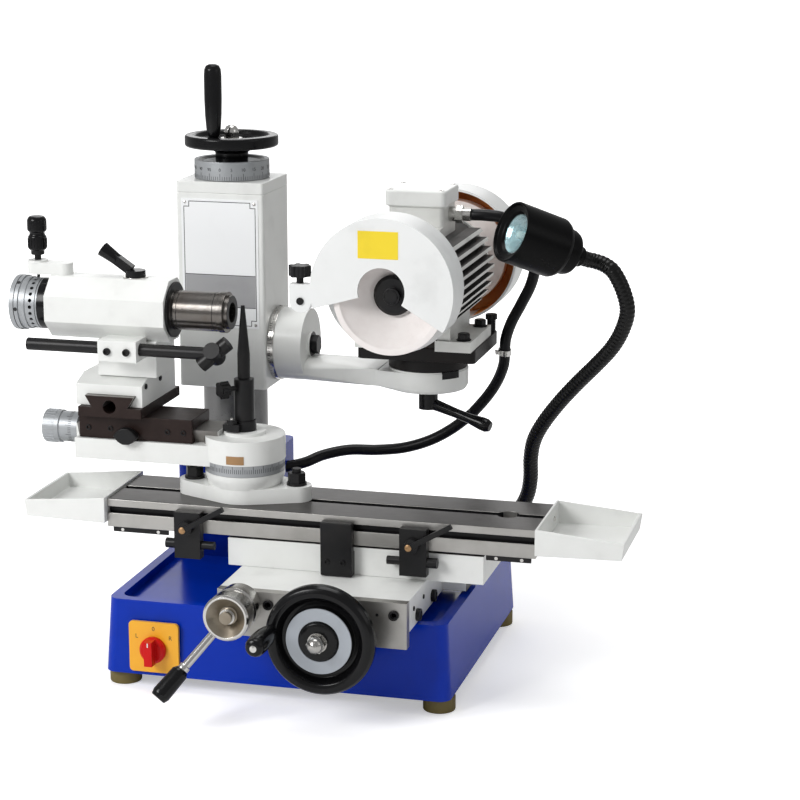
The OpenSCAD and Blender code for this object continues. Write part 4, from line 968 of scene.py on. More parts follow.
@dataclass
class Wheelhead:
    """Swivelling arm with the motor, its guards and its wheels."""

    x: float = 115.0
    y: float = 99.0
    axis_z: float = 467.0
    arm_z: float = 367.0
    arm_bolt_x: tuple[float, float] = (-36.4, -24.0)
    arm_bolt_r: float = 16.5
    arm_ring_x: float = -80.0
    arm_ring_r: float = 46.5
    plate_y: float = 74.0
    plate_z: float = 397.0
    motor_front: float = -14.0
    motor_back: float = 162.0
    fin_root_r: float = 59.5
    box_x: float = 111.0
    box_y: float = 82.0
    box_z: float = 571.5
    knob_x: float = 8.0
    knob_y: float = -88.0
    knob_z: float = 488.2
    lining_y: tuple[float, float] = (215.6, 267.5)
    clip_at: tuple[float, float, float] = (201.4, 147.4, 363.6)
    clip_aim: tuple[float, float, float] = (-2.0, 3.0, -18.0)

    def build(self) -> None:
        """Builds the wheelhead's pieces."""
        self.arm()
        self.plate()
        self.motor()
        self.terminal_box()
        self.front_guard()
        self.rear_guard()
        self.wheels()
        self.cable_clip()

    def arm(self) -> None:
        """White arm with its end bolt and a strip of painted shade for the opening in its round end, its
        scale ring and its clamp lever.
        """
        arm = dressed("wheelhead_arm", "arm", [WHITE, DARK, BRIGHT, INK], 1.6, sharp=38.0)
        # painted shade: thin dark plates on the arm's round end stand for the shaded opening there
        for k in range(7):
            slot_shade = turned_to((self.x, self.y, 340.5), 4 * k - 54, "Z")
            arm.block((48.6, -1.9, 0.0), (50.2, 1.9, 8.7), 0, 1, slot_shade)

        def on_bolt(c: Vector, n: Vector) -> bool:
            """Tells the end bolt's faces.

            Args:
                c: The face's centre in mm.
                n: Its normal.

            Returns:
                Whether it is one of them.
            """
            reach = self.arm_bolt_r if n.x > 0.9 else self.arm_bolt_r - 3.0
            return (self.arm_bolt_x[0] < c.x < self.arm_bolt_x[1]
                    and math.hypot(c.y - self.y, c.z - self.arm_z) < reach)

        arm.zones((on_bolt, 1))
        arm.made()
        ring = dressed("arm_scale_ring", "arm", [BRIGHT, INK], 0.5)
        ring.ticks(turned_to((self.arm_ring_x, self.y, self.arm_z), 90, "Y"), self.arm_ring_r, 90, 3.0, 5.0,
                   1, 1.0)
        ring.made()
        dressed("arm_clamp_lever", "arm_lever", [PLASTIC, DARK], 1.0).made()

    def plate(self) -> None:
        """Black swivel plate with its clamp bolts and tall corner bolt."""
        plate = dressed("motor_plate", "grinder", [PLATE_BLACK, DARK], 1.0)
        for dx, dy in corners(61, 44):
            x, y = self.x + dx, self.plate_y + dy
            plate.rod(9.0, 1.6, above(x, y, self.plate_z), 1)
            plate.hexagon(7.5, 7.0, above(x, y, self.plate_z + 1.6), 1)
        x, y = self.x + 67, self.y + 56
        plate.rod(5.5, 20, above(x, y, self.plate_z - 14), 1, 1.0)
        plate.rod(7.5, 7, above(x, y, self.plate_z + 2), 1, 1.0)
        plate.made()

    def motor(self) -> None:
        """Finned motor between its end bells with their bolts."""
        def between_fins(c: Vector, n: Vector) -> bool:
            """Tells the gaps between the fins, and the fins' flanks, which get painted shade.

            Args:
                c: The face's centre in mm.
                n: Its normal.

            Returns:
                Whether it is one of them.
            """
            deep = math.hypot(c.x - self.x, c.z - self.axis_z) < self.fin_root_r or abs(n.z) > 0.97
            return (self.motor_front + 2 < c.y < self.motor_back - 2 and abs(n.y) < 0.5
                    and abs(c.x - self.x) > 15 and c.z > 412 and deep)

        # painted shade: the gaps between the fins and their flanks get a dark grey instead of the aluminium
        dressed("motor_frame", "grinder", [MOTOR, FIN_SHADE], 0.7).zones((between_fins, 1)).made()
        bells = dressed("motor_end_bells", "grinder", [MOTOR, BRIGHT, DARK], 1.2)
        for y, place, out in ((self.motor_front - 6, front, -1), (self.motor_back + 6, rear, 1)):
            for dx, dz in around(4, 53, 45):
                x, z = self.x + dx, self.axis_z + dz
                bells.rod(6.2, 4.5, place(x, y - 2.5 * out, z), 0, 1.0)
                bells.hexagon(4.2, 3.4, place(x, y + 2 * out, z), 1)
            bells.turned([(50.5, 3.5), (50.5, 5.2), (48.0, 6.8), (48.0, 3.5), (50.5, 3.5)],
                         place(self.x, y, self.axis_z), 64, 0, 0.5)
        bells.made()

    def terminal_box(self) -> None:
        """Terminal box, its overhanging cover, screws and cable gland."""
        dressed("terminal_box", "grinder", [MOTOR], 1.2).made()
        cover = dressed("terminal_cover", "grinder", [WHITE, BRIGHT], 2.6, segments=3)
        cover.block((-27, -25, 1.1), (27, 25, 1.4), 0.2, 0, above(self.box_x, self.box_y, self.box_z))
        for dx, dy in corners(31.5, 29.5):
            cover.socket_screw(3.2, 2.0, above(self.box_x + dx, self.box_y + dy, self.box_z), 1)
        cover.made()
        dressed("cable_gland", "grinder", [BRIGHT], 0.8).made()

    def front_guard(self) -> None:
        """White guard round the cup wheel with its blank label, star knob and pivot screw."""
        guard = dressed("front_guard", "wheel_guard", [GUARD_WHITE, DARK, LABEL, BRIGHT], 0.7)
        guard.block((-24, -16, 0), (24, 16, 0.4), 0.15, 2, front(103.5, -95.0, 529.5))
        for dx, dy in around(6, 10):
            guard.rod(3.6, 13.4, above(self.knob_x + dx, self.knob_y + dy, self.knob_z - 0.2), 1, 1.0, 16)
        guard.rod(10.6, 13, above(self.knob_x, self.knob_y, self.knob_z), 1, 2.0)
        guard.rod(4.2, 9, above(self.knob_x, self.knob_y, self.knob_z - 8.7), 1, 0.4)
        guard.rod(4.4, 2.5, front(10, -94.6, 460), 1, 0.6)
        guard.zones((lambda c, n: -5 < c.x < 20 and c.y > -100 and 486.5 < c.z < 502.5, 1))
        guard.made()

    def rear_guard(self) -> None:
        """Rear guard drum with its orange lining and two bolts."""
        guard = dressed("rear_guard", "grinder", [GUARD_WHITE, ORANGE, DARK], 0.6)

        def inside(c: Vector, n: Vector) -> bool:
            """Tells the drum's inner wall, which faces its axis.

            Args:
                c: The face's centre in mm.
                n: Its normal.

            Returns:
                Whether it is one of them.
            """
            inwards = (c.x - self.x) * n.x + (c.z - self.axis_z) * n.z < -1.0
            return self.lining_y[0] < c.y < self.lining_y[1] and inwards and c.z > 389

        guard.zones((inside, 1), (lambda c, n: n.y < -0.9 and 266 < c.y < 268, 1))
        for dx in (-10, 10):
            guard.hexagon(5.0, 4.0, above(self.x + dx, 172, 388), 2)
        guard.made()

    def wheels(self) -> None:
        """Shaft, cup wheel with its flange, and rear wheel."""
        dressed("motor_shaft", "rotor", [GROUND], 0.5).made()
        cup = Piece("cup_wheel_dressed", "rotor", [GRIT], "cup_wheel")
        cup.turned([(12, 0), (44, 0), (63, 24), (67, 38), (67, 40), (60, 40), (57, 36), (26, 13), (12, 13),
                    (12, 0)], front(self.x, -50, self.axis_z), 96, 0, 0.8)
        cup.made()
        flange = dressed("wheel_flange", "rotor", [DARK, BRIGHT], 0.6)
        for dx in (16, -16):
            flange.rod(1.8, 0.3, front(self.x + dx, -71.4, self.axis_z), 1, 0.05, 16)
        flange.hexagon(9.0, 2.0, front(self.x, -77.0, self.axis_z), 0)
        flange.made()
        dressed("rear_wheel", "rotor", [GRIT], 1.0).made()

    def cable_clip(self) -> None:
        """Plated clip round the motor's cable."""
        clip = Piece("cable_clip", "arm", [BRIGHT, DARK])
        place = along(self.clip_at, self.clip_aim)
        clip.turned([(7.05, 0), (8.4, 0), (8.4, 7.5), (7.05, 7.5), (7.05, 0)], place, 32, 0, 0.3)
        clip.block((7.8, -3.0, 1.5), (12.5, 3.0, 6.0), 0.4, 0, place)
        clip.made()


@dataclass
class CrossSlide:
    """Cross slide with saddle, apron, dog, handwheel and feed lever."""

    right_x: float = 172.0
    apron_y: float = -226.0
    apron_z: float = 132.5
    dog_y: float = -151.0
    screw_x: float = 82.0
    screw_z: float = 110.0
    wheel_y: float = -254.0
    wheel_r: float = 64.0
    drum_r: float = 38.0
    crank_r: float = 55.0
    crank_turn: float = 170.0
    hub_x: float = -24.0
    hub_z: float = 131.0
    lever_turn: float = 232.0
    lever_tilt: float = 59.0

    def build(self) -> None:
        """Builds the cross slide's pieces."""
        slide = dressed("cross_slide", "cross", [WHITE, DARK, BRIGHT, BLACK_PAINT], 1.0)
        slide.zones((lambda c, n: c.x > self.right_x + 0.5 and c.y < -60, 1),
                    # painted shade: faces right of the slide and behind y -60 get black paint, standing for
                    # the shaded gap under the saddle
                    (lambda c, n: c.x > self.right_x + 0.5 and c.y > -60, 3))
        for y in (-180, -108):
            slide.socket_screw(7.4, 5.0, right_side(self.right_x, y, 120), 1)
        for y in (-195, -150, -80, 0):
            slide.socket_screw(2.8, 1.2, right_side(self.right_x, y, 132), 1)
        slide.made()
        dressed("saddle", "cross", [WHITE, WAYS, DARK], 1.0).zones((lambda c, n: c.z > 180.6, 1)).made()
        self.apron()
        self.dog()
        self.handwheel()
        self.feed_screw()
        self.crank_grip()
        self.feed_lever()

    def apron(self) -> None:
        """Bare steel apron with its screws, oiler and gib screw."""
        apron = dressed("apron", "cross", [APRON, DARK, BRIGHT, BRASS], 1.2)
        for x in (9.0, 157.0):
            apron.socket_screw(6.0, 4.5, front(x, self.apron_y + 1.5, self.apron_z), 1)
        apron.rod(1.8, 0.3, front(137.5, self.apron_y, self.apron_z - 1.0), 1, 0.1)
        apron.turned([(3.6, 0), (3.4, 1.4), (1.6, 2.4), (0, 2.4)],
                     front(34.0, self.apron_y, self.apron_z + 7.0), 20, 3, 0)
        apron.made()

    def dog(self) -> None:
        """Black centre dog with two cap screws side by side."""
        dog = dressed("travel_dog", "cross", [DARK, BRIGHT], 1.2)
        for x in (56.5, 75.5):
            dog.socket_screw(3.2, 1.5, front(x, self.dog_y, 165.0), 0)
        dog.made()

    def handwheel(self) -> None:
        """Dished cross-feed handwheel with a grey ring and a graduated drum."""
        r = self.wheel_r
        place = front(self.screw_x, self.wheel_y, self.screw_z)
        wheel = Piece("cross_handwheel_dressed", "cross_wheel", [PLASTIC, RING_GREY, INK, BRIGHT, DIAL],
                      "cross_handwheel")
        wheel.turned([(8, -27), (38, -27), (38, -13), (25, -11.5), (25, -5), (r - 16, 0.5), (r - 10, -0.5),
                      (r - 4, 0.6), (r, 5), (r, 12.5), (r - 3, 16.8), (r - 8, 18.6), (r - 13, 17.4),
                      (r - 16.5, 12), (r - 19, 8.5), (39.6, 7.5), (39, 15.5), (8, 16), (8, -27)],
                     place, 112, 0, 1.0)
        wheel.turned([(38.4, 15.3), (38.2, 16.5), (23.8, 16.5), (23.6, 15.3), (38.4, 15.3)],
                     place, 96, 1, 0.25)
        wheel.turned([(22.8, 15.4), (21.5, 19), (16, 20), (8, 20), (8, 15.4), (22.8, 15.4)],
                     place, 64, 0, 0.8)
        wheel.ticks(place, self.drum_r, 100, 3.0, 6.0, 2, -27.0)
        wheel.zones((lambda c, n: c.y > self.wheel_y + 12.5 and self.drum_r - 3
                     < math.hypot(c.x - self.screw_x, c.z - self.screw_z) < self.drum_r + 0.05, 4))
        wheel.made()

    def feed_screw(self) -> None:
        """Cross-feed screw with its washer and domed nut."""
        screw = Piece("cross_feed_screw_dressed", "cross_wheel", [GROUND, DARK], "cross_feed_screw")
        nut_y, end_y = self.apron_y - 50, 76
        screw.rod(8, end_y - nut_y - 26, front(self.screw_x, end_y, self.screw_z), 0)
        nut = front(self.screw_x, nut_y, self.screw_z)
        screw.turned([(11.5, -1.6), (11.5, 0), (8, 0), (8, -1.6), (11.5, -1.6)], nut, 32, 0, 0.2)
        screw.hexagon(11, 8, nut, 0)
        screw.turned([(9.3, 8), (9.2, 10.5), (7.8, 13.4), (5, 15.8), (2, 16.8), (0, 17)], nut, 32, 0, 0)
        screw.made()

    def crank_grip(self) -> None:
        """Crank grip of the handwheel with the bright end of its pin."""
        angle = math.radians(self.crank_turn)
        x, z = self.screw_x + self.crank_r * math.cos(angle), self.screw_z + self.crank_r * math.sin(angle)
        grip = Piece("cross_grip_dressed", "crank_grip", [PLASTIC, BRIGHT], "cross_grip")
        place = front(x, self.wheel_y - 19.4, z)
        grip.turned([(0, 0), (6.8, 0), (7.2, 4), (9.8, 14), (11.6, 28), (12, 46), (11.4, 58), (9.4, 63),
                     (6.0, 64.6), (0, 64.6)], place, 40, 0, 1.0)
        grip.turned([(4.2, 64.4), (4.0, 65.4), (1.5, 65.9), (0, 65.9)], place, 20, 1, 0)
        grip.rod(4, 18, front(x, self.wheel_y - 2, z), 1)
        grip.made()

    def feed_lever(self) -> None:
        """Silver cup hub and its lever with a black grip."""
        hub = dressed("feed_pinion", "feed", [BRIGHT, CUP, BRASS, DARK], 0.9)
        place = front(self.hub_x, self.apron_y - 54, self.hub_z)
        hub.turned([(7.4, -4), (7.4, 0.8), (0, 0.8)], place, 32, 1, 0.6)
        hub.turned([(10.2, -11.6), (10.6, -10.4), (8.4, -10.0), (8.0, -11.4), (10.2, -11.6)], place, 48, 3, 0)
        hub.zones((lambda c, n: c.y < -268 and n.y < -0.2
                   and 9 < math.hypot(c.x - self.hub_x, c.z - self.hub_z) < 22, 1))
        hub.made()
        lever = dressed("feed_lever", "feed", [BRIGHT, PLASTIC], 0.6)
        root = Vector((self.hub_x, self.apron_y - 28, self.hub_z))
        turn, tilt = math.radians(self.lever_turn), math.radians(self.lever_tilt)
        out = Vector((math.cos(turn) * math.sin(tilt), -math.cos(tilt), math.sin(turn) * math.sin(tilt)))
        lever.zones((lambda c, n: (c - root).dot(out) > 86.5, 1))
        lever.turned([(6.1, 0), (6.6, 1), (6.6, 5), (6.1, 6), (5.0, 6), (5.0, 0), (6.1, 0)],
                     along(root + out * 80.5, out), 32, 0, 0.3)
        lever.made()


@dataclass
class WorkTable:
    """Table with its rack, trays, rails and stops."""

    left_x: float = -219.0
    right_x: float = 301.0
    front_y: float = -140.0
    top_z: float = 218.0
    slot_y: float = -83.5
    rail_z: float = 181.2
    lever_z: float = 194.0
    pin_z: float = 172.0

    def build(self) -> None:
        """Builds the table's pieces."""
        table = dressed("table", "work_table", [TABLE_SIDE, TABLE_TOP_SHADE, DARK, BRIGHT], 0.9)
        # painted shade: the upward faces of the top get the darker copy of the table's ground steel
        table.zones((lambda c, n: n.z > 0.6 and c.z > self.top_z - 1.5, 1),
                    # painted shade: faces inside the T-slot and in the recess under the front edge get the
                    # near-black finish
                    (lambda c, n: 202 < c.z < 217 and abs(c.y - self.slot_y) < 10.5, 2),
                    (lambda c, n: 0.5 < c.y - self.front_y < 8.6 and 195 < c.z < 212.5, 2))
        table.made()
        dressed("table_rack", "work_table", [DARK], 0.0).made()
        trays = dressed("table_trays", "work_table", [WHITE, BRIGHT], 0.8)
        for x, side in ((self.left_x - 3.4, left_side), (self.right_x + 3.4, right_side)):
            for y in (-120, -47):
                trays.pan_screw(3.0, side(x, y, 206), 1)
        trays.made()
        self.rails()
        self.stops()

    def rails(self) -> None:
        """Dark gib strips seen under the table's front edge."""
        rails = Piece("table_rails", "work_table", [DARK, BRIGHT])
        face_y = self.front_y + 0.1
        for low, high in ((-212, -142), (243, 296)):
            rails.block((low, face_y, self.rail_z - 3), (high, face_y + 2.5, self.rail_z + 3), 0.8, 0)
        for x in (-200, -155, 255, 285):
            rails.rod(2.0, 0.1, front(x, face_y, self.rail_z), 1, 0)
        rails.made()

    def stops(self) -> None:
        """Two black stops, each with the boss of its clamp lever and a copper screw."""
        bright_tip = (lambda c, n: c.x < 136 and abs(c.z - self.pin_z) < 5.3, 2)
        for node, body, x, rules in (("stop_left", "left_stop", -114.0, ()),
                                     ("stop_right", "right_stop", 160.0, (bright_tip,))):
            stop = dressed(node, body, [DARK, COPPER, BRIGHT, PLASTIC], 0.9)
            stop.rod(8.4, 3.6, front(x, self.front_y - 17.0, self.lever_z), 0, 1.2)
            stop.turned([(4.2, 0), (4.0, 1.1), (2.4, 1.8), (0, 1.9)],
                        front(x - 3.4, self.front_y - 20.5, self.lever_z - 1.9), 20, 1, 0)
            stop.zones(*rules)
            stop.made()


@dataclass
class Workhead:
    """Swivelling workhead with its slides, spindle, index disc, rod and rest."""

    x: float = -64.0
    y: float = -83.5
    z: float = 440.0
    ring_r: float = 48.5
    ring_z: tuple[float, float] = (251.5, 265.6)
    ring_lines: int = 120
    label_z: float = 273.0
    way_x: tuple[float, float] = (-270.0, -89.5)
    infeed_x: float = -199.0
    infeed_z: float = 292.0
    dial_x: float = -271.0
    dial_z: float = 289.0
    knurls: int = 28
    bracket_x: float = -179.0
    lever_x: float = -197.0
    flange_x: tuple[float, float] = (-150.0, -146.8)
    nose_x: float = -79.0
    nose_r: float = 23.65
    disc_x: float = -321.0
    plunger_knurls: int = 20
    cup_axis: tuple[float, float, float] = (-0.749, -0.159, -0.643)
    star_at: tuple[float, float, float] = (-79.0, -101.5, 351.3)
    star_axis: tuple[float, float, float] = (-0.643, -0.766, 0.0)
    star_r: float = 7.9

    def build(self) -> None:
        """Builds the workhead's pieces."""
        dressed("swivel_foot", "workhead_foot", [WHITE, COPPER, INK], 1.2, sharp=36.0).made()
        dressed("foot_bolts", "workhead_foot", [DARK], 0.8).made()
        self.swing()
        self.slides()
        self.infeed_dial()
        self.housing()
        self.spindle()
        self.index_disc()
        self.plunger()
        dressed("housing_lever", "head_lever", [PLASTIC, BRIGHT], 0.9).made()
        self.rod_and_rest()

    def swing(self) -> None:
        """Graduated ring, round top with a copper label, and long arm."""
        swing = dressed("swing_arm", "workhead_arm", [WHITE, DIAL, INK, WAYS, COPPER, BRIGHT, DARK], 0.9)
        swing.zones((lambda c, n: math.hypot(c.x - self.x, c.y - self.y) < self.ring_r - 0.5
                     and self.ring_z[0] < c.z < self.ring_z[1], 1),
                    (lambda c, n: self.way_x[0] < c.x < self.way_x[1] and c.z > 285.5
                     and abs(c.y - self.y) < 27, 3))
        swing.ticks(above(self.x, self.y, 252.3), self.ring_r - 1.0, self.ring_lines, 5.0, 8.5, 2, 4.4)
        for k in range(-3, 4):
            place = turned_to((self.x, self.y, self.label_z), 3.6 * k - 86, "Z")
            swing.block((self.ring_r - 0.5, -1.55, -5), (self.ring_r + 0.5, 1.55, 5), 0.1, 4, place)
        swing.made()

    def slides(self) -> None:
        """Brown infeed slide with its screws and clamp knob, cross ways and bracket."""
        lower = dressed("lower_slide", "infeed_slide", [BROWN, DARK, GROUND], 0.9)
        for x in (-250, -222, -150, -130):
            lower.socket_screw(3.2, 1.4, front(x, self.y - 31, self.infeed_z + 6), 1)
        lower.rod(6.5, 6, front(self.infeed_x, self.y - 31, self.infeed_z), 1)
        lower.prism([(-16, 0), (-9.5, -7), (-4, -10), (4, -10), (9.5, -7), (16, 0), (9.5, 7), (4, 10),
                     (-4, 10), (-9.5, 7)], front(self.infeed_x, self.y - 34, self.infeed_z), 11, 2.2, 1)
        lower.made()
        upper = dressed("cross_way_block", "infeed_slide", [BROWN, WAYS, DARK], 0.9)
        upper.zones((lambda c, n: c.z > 326.2 and abs(n.y) < 0.5, 1))
        upper.made()
        bracket = dressed("head_bracket", "workhead", [WHITE, DARK, COPPER], 1.2)
        for dy in (-24, 24):
            bracket.socket_screw(3.4, 1.6, right_side(self.bracket_x, self.y + dy, 350), 1)
        bracket.made()

    def infeed_dial(self) -> None:
        """Infeed dial with its scale and knurled rim."""
        dial = dressed("slide_screw", "infeed_screw", [DIAL, INK, BRIGHT], 0.8)
        dial.ticks(turned_to((self.dial_x, self.y, self.dial_z), -90, "Y"), 18.5, 50, 4.0, 7.0, 1, 8.0)
        for k in range(self.knurls):
            dial.block((-315.0, -0.8, 19.6), (-301.0, 0.8, 20.5), 0.3, 0,
                       turned_to((0, self.y, self.dial_z), 360 * k / self.knurls, "X"))
        dial.made()

    def housing(self) -> None:
        """Eight-sided spindle housing with its rod's clamp screws and lever seat."""
        house = dressed("spindle_housing", "workhead", [WHITE, DARK, BRIGHT], 1.0, sharp=28.0)
        for x in (-214, -190):
            house.socket_screw(4.4, 3.0, front(x, -138, 397), 1)
        house.rod(15, 1.4, above(self.lever_x, self.y, 476.5), 2, 0.4)
        house.made()

    def spindle(self) -> None:
        """Work spindle with its dark flange, which is partly painted shade, its dark end and three fine
        grooves.
        """
        spindle = dressed("work_spindle", "work_spindle_set", [NOSE, DARK, BRIGHT], 0.8)
        # partly painted shade: the flange's near-black finish also stands for the shade at the housing's end
        spindle.zones((lambda c, n: self.flange_x[0] < c.x < self.flange_x[1], 1),
                      (lambda c, n: c.x > self.nose_x, 1))
        inner, outer = self.nose_r - 0.35, self.nose_r
        for x in (-144.5, -140.0, -95.5):
            spindle.turned([(inner, 0), (outer, 0.2), (outer, 0.9), (inner, 1.1), (inner, 0)],
                           right_side(x, self.y, self.z), 64, 1, 0)
        spindle.made()

    def index_disc(self) -> None:
        """Index disc with painted shade in its holes, a black ring, two lines and six set screws."""
        disc = dressed("index_disc", "work_spindle_set", [DIAL, PLASTIC, INK], 0.8)
        # painted shade: faces of the holes near the disc's face get the black finish
        disc.zones((lambda c, n: math.hypot(c.y - self.y, c.z - self.z) < 28.5
                    and abs(c.x - self.disc_x) < 3.5, 2))
        disc.turned([(30.0, 0), (30.8, 0.2), (30.8, 12.0), (30.0, 12.2), (30.0, 0)],
                    right_side(self.disc_x + 8.2, self.y, self.z), 96, 1, 0)
        for x, r in ((-341.5, 33.1), (-315.5, 30.6)):
            disc.turned([(r - 0.4, 0), (r + 0.05, 0.1), (r + 0.05, 1.0), (r - 0.4, 1.1), (r - 0.4, 0)],
                        right_side(x, self.y, self.z), 64, 2, 0)
        for k in range(6):
            place = turned_to((-338.5, self.y, self.z), 60 * k + 35, "X")
            disc.rod(2.4, 0.25, place @ Matrix.Translation((0, 0, 32.95)), 2, 0.05, 14)
        disc.made()

    def plunger(self) -> None:
        """Index plunger's stepped knob with two knurled bands."""
        knob = dressed("index_plunger", "plunger", [PLASTIC, BRIGHT], 1.0)
        for k in range(self.plunger_knurls):
            place = turned_to((self.disc_x, self.y, 0), 360 * k / self.plunger_knurls, "Z")
            for low in (507.4, 529.0):
                knob.block((10.4, -0.8, low), (11.6, 0.8, low + 11), 0.3, 0, place)
        knob.made()

    def rod_and_rest(self) -> None:
        """Black rod with its clamp, and the pointed rest on the swivel with its star knob."""
        rod = dressed("rest_rod", "rod", [DARK, CUP], 0.8)
        rod.zones((lambda c, n: n.dot(Vector(self.cup_axis)) > 0.98 and c.x > -110, 1))
        rod.made()
        rest = dressed("tooth_rest", "rest", [DARK, PLASTIC, BRIGHT], 0.7)
        across, down, _ = self.star_axis
        x, y, z = self.star_at
        for u, v in around(5, self.star_r):
            rest.rod(3.3, 10, along((x - u * down, y + u * across, z + v), self.star_axis), 1, 0.8, 14)
        rest.hexagon(6.5, 5, above(self.x - 10, self.y - 18, 309), 0)
        rest.rod(2.2, 2.5, above(self.x - 10, self.y - 18, 314), 2, 0.5, 16)
        rest.made()


@dataclass
class Lamp:
    """Ribbed gooseneck and lamp shade with reflector, bulb and glass."""

    back: tuple[float, float, float] = (318.0, 20.0, 506.0)
    aim: tuple[float, float, float] = (-72.0, -60.0, 37.0)
    neck_r: float = 9.5
    rib: float = 0.7
    rib_pitch: float = 5.0
    route: Route = (
        (172, 150, 98), (178, 150, 116), (198, 146, 136), (222, 138, 158), (236, 128, 182), (242, 118, 208),
        (244, 108, 236), (250, 98, 262), (264, 88, 288), (286, 76, 318), (310, 64, 346), (334, 52, 372),
        (354, 42, 396), (367, 34, 420), (373, 28, 444), (368, 24, 468), (357, 23, 489), (345, 27, 497),
        (333, 28.5, 500.5), (324.43, 25.36, 502.7), (318, 20, 506))

    def build(self) -> None:
        """Builds the lamp."""
        line = resampled([Vector(p) for p in self.route], self.rib_pitch / 4)
        neck = swept("lamp_gooseneck_ribbed", line, self.ribbed, 20, NECK)
        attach(neck, "stand")
        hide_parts("lamp_gooseneck")
        foot = Piece("lamp_foot", "stand", [BLACK_PAINT, BRIGHT])
        foot.turned([(15.3, 0), (15.3, 6), (12, 8.5), (0, 8.5)], above(172, 150, 98.2), 48, 0, 0.8)
        foot.made()
        self.shade()

    def ribbed(self, walked: float) -> float:
        """Radius of the gooseneck at a distance along it."""
        return self.neck_r - self.rib + self.rib * abs(math.cos(math.pi * walked / self.rib_pitch))

    def shade(self) -> None:
        """Stepped shade with its reflector, bulb and glass."""
        place = along(self.back, self.aim)
        shade = Piece("lamp_shade_dressed", "stand", [SHADE, REFLECTOR, CREAM, BRIGHT], "lamp_shade")
        shade.turned([(0, 0.3), (12, 0.3), (12.5, 7), (17, 9), (25, 15), (27, 20), (27.4, 31), (33, 33),
                      (35.6, 38), (35.8, 62), (36, 92), (36, 100), (33.5, 100), (32.5, 97), (26, 95),
                      (23.5, 92), (23, 84), (0, 84)], place, 72, 0, 0.8)
        shade.made()
        bowl = Piece("lamp_reflector", "stand", [REFLECTOR, CREAM, BRIGHT])
        bowl.turned([(23.0, 91), (19, 88), (13, 86), (6, 84.8), (0, 84.4)], place, 64, 0, 0)
        bowl.turned([(4.5, 84.4), (4.5, 87.5), (3, 89.5), (0, 90)], place, 32, 1, 0.6)
        bowl.made()
        pane = Piece("lamp_pane", "stand", [CREAM])
        pane.turned([(0, 91.2), (23.2, 91.2), (23.2, 92.4), (0, 92.4)], place, 64, 0, 0.2)
        made = pane.made()
        made.data.materials.clear()
        made.data.materials.append(glass())


@dataclass
class MotorCable:
    """Black cable from the motor's gland to the pedestal, in three stretches."""

    diameter: float = 14.0
    section_step: float = 4.0
    upper: Route = (
        (172.3, 83, 541), (190, 83, 541), (211, 87, 538), (231, 96, 525), (243, 106, 504), (245, 116, 480),
        (238, 126, 452), (224, 134, 424), (211, 140, 400), (203, 145, 378), (201, 148, 360))
    middle: Route = ((201, 148, 360), (199, 151, 342), (190, 158, 320), (176, 163, 298), (156, 167, 274))
    lower: Route = (
        (156, 167, 274), (130, 169, 252), (100, 170, 234), (66, 170, 222), (30, 168, 217), (-6, 163, 216),
        (-36, 148, 211), (-56, 131, 204), (-82, 117, 199))

    def build(self) -> None:
        for name, route, bodies, node in (
                ("motor_cable_top", self.upper, ("grinder", "arm"), "motor_cable_upper"),
                ("motor_cable_middle", self.middle, ("arm", "column_head"), "motor_cable_lower"),
                ("motor_cable_bottom", self.lower, ("column_head", "stand"), "motor_cable_lower")):
            line = resampled([Vector(p) for p in route], self.section_step)
            tube = swept(name, line, lambda walked: self.diameter / 2, 24, CABLE)
            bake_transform(tube)
            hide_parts(node)


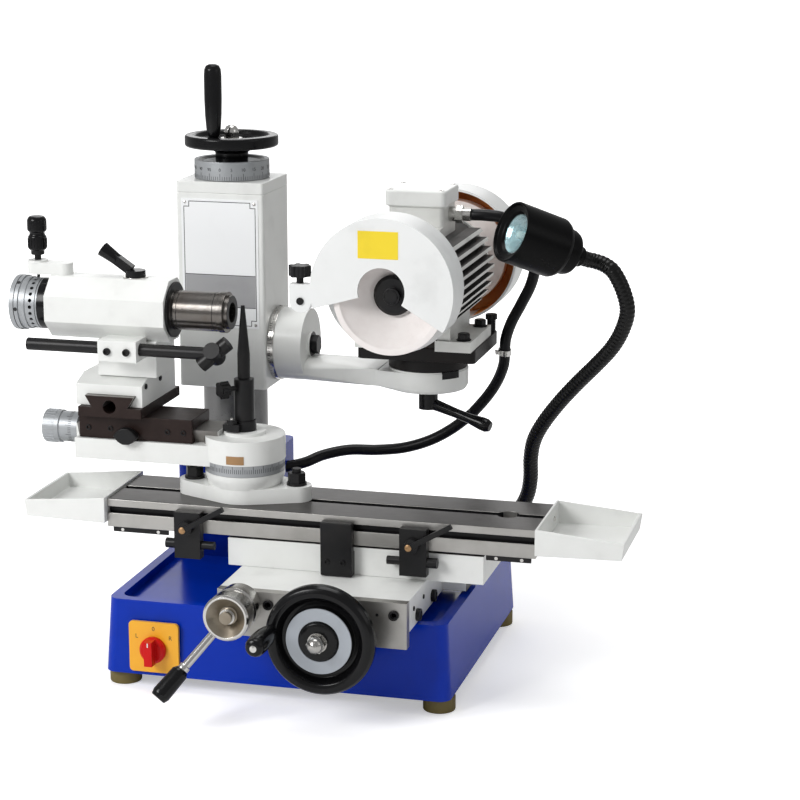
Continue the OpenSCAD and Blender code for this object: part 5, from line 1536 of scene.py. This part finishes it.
@dataclass
class Studio:
    """Camera, plain floor and soft light; its sizes are in metres and degrees."""

    eye: tuple[float, float, float] = (0.787836, -2.59418, 0.963652)
    azimuth: float = 14.752
    elevation: float = 13.368
    lens: float = 103.28
    ambient: float = 0.36
    aimed_at: tuple[float, float, float] = (0.0, 0.0, 0.3)
    lamps: tuple[tuple[str, tuple[float, float, float], float, float], ...] = (
        ("key", (-1.7, -2.3, 1.9), 1.3, 66.0), ("side", (2.6, -0.6, 1.4), 1.2, 4.0),
        ("top", (0.0, 0.2, 2.8), 1.4, 24.0), ("back", (-0.6, 2.4, 1.6), 1.6, 10.0))

    def build(self) -> None:
        """Sets the view and the light."""
        scene = bpy.context.scene
        scene.view_settings.view_transform = "Standard"
        data = bpy.data.cameras.new("camera")
        data.lens = self.lens
        data.sensor_width = 36.0
        data.clip_end = 50.0
        camera = shown("camera", data)
        camera.location = self.eye
        camera.rotation_euler = (math.radians(90 - self.elevation), 0.0, math.radians(self.azimuth))
        scene.camera = camera
        self.world()
        self.lights()
        self.floor()

    def world(self) -> None:
        """Soft grey light that shows white to the camera, also through glass."""
        world = bpy.data.worlds.new("studio_world")
        bpy.context.scene.world = world
        world.use_nodes = True
        nodes, links = world.node_tree.nodes, world.node_tree.links
        back = nodes["Background"]
        path = nodes.new("ShaderNodeLightPath")
        seen = nodes.new("ShaderNodeMath")
        seen.operation = "MAXIMUM"
        links.new(path.outputs["Is Camera Ray"], seen.inputs[0])
        links.new(path.outputs["Is Transmission Ray"], seen.inputs[1])
        level = nodes.new("ShaderNodeMapRange")
        level.inputs["To Min"].default_value = self.ambient
        level.inputs["To Max"].default_value = 1.0
        links.new(seen.outputs[0], level.inputs["Value"])
        links.new(level.outputs["Result"], back.inputs["Strength"])
        back.inputs["Color"].default_value = (1.0, 1.0, 1.0, 1.0)

    def lights(self) -> None:
        """Four soft area lights, all aimed at the machine."""
        for name, place, size, power in self.lamps:
            data = bpy.data.lights.new(name, "AREA")
            data.energy = power
            data.size = size
            light = shown(name, data)
            light.location = place
            aim = Vector(self.aimed_at) - Vector(place)
            light.rotation_euler = aim.to_track_quat("-Z", "Y").to_euler()

    def floor(self) -> None:
        """Wide floor, which is no part of the machine."""
        bm = bmesh.new()
        bmesh.ops.create_grid(bm, x_segments=1, y_segments=1, size=60.0)
        mesh = bpy.data.meshes.new("floor")
        bm.to_mesh(mesh)
        bm.free()
        mesh.materials.append(self.floor_paint())
        shown("floor", mesh)

    def floor_paint(self) -> bpy.types.Material:
        """Makes white paint that keeps a shadow near the machine and glows further out.

        Returns:
            Its material.
        """
        pale = bpy.data.materials.new("floor_white")
        pale.use_nodes = True
        nodes, links = pale.node_tree.nodes, pale.node_tree.links
        shader = nodes["Principled BSDF"]
        for label, value in (("Base Color", (0.92, 0.92, 0.92, 1.0)), ("Roughness", 0.9),
                             ("Specular IOR Level", 0.1), ("Emission Color", (1.0, 1.0, 1.0, 1.0))):
            shader.inputs[label].default_value = value
        path = nodes.new("ShaderNodeLightPath")
        place = nodes.new("ShaderNodeTexCoord")
        reach = nodes.new("ShaderNodeVectorMath")
        reach.operation = "LENGTH"
        links.new(place.outputs["Object"], reach.inputs[0])
        fade = nodes.new("ShaderNodeMapRange")
        for label, value in (("From Min", 0.45), ("From Max", 1.6), ("To Min", 0.42), ("To Max", 1.1)):
            fade.inputs[label].default_value = value
        links.new(reach.outputs["Value"], fade.inputs["Value"])
        glow = nodes.new("ShaderNodeMath")
        glow.operation = "MULTIPLY"
        links.new(path.outputs["Is Camera Ray"], glow.inputs[0])
        links.new(fade.outputs["Result"], glow.inputs[1])
        links.new(glow.outputs[0], shader.inputs["Emission Strength"])
        return pale


def main() -> None:
    """Builds the studio, the cable and every sub-assembly, and logs each as it is built."""
    logging.basicConfig(level=logging.INFO, format="%(message)s")
    for part in (Studio(), MotorCable(), Base(), Column(), Wheelhead(), CrossSlide(), WorkTable(), Workhead(),
                 Lamp()):
        part.build()
        LOG.info("%s built", type(part).__name__)


if __name__ == "__main__":
    main()
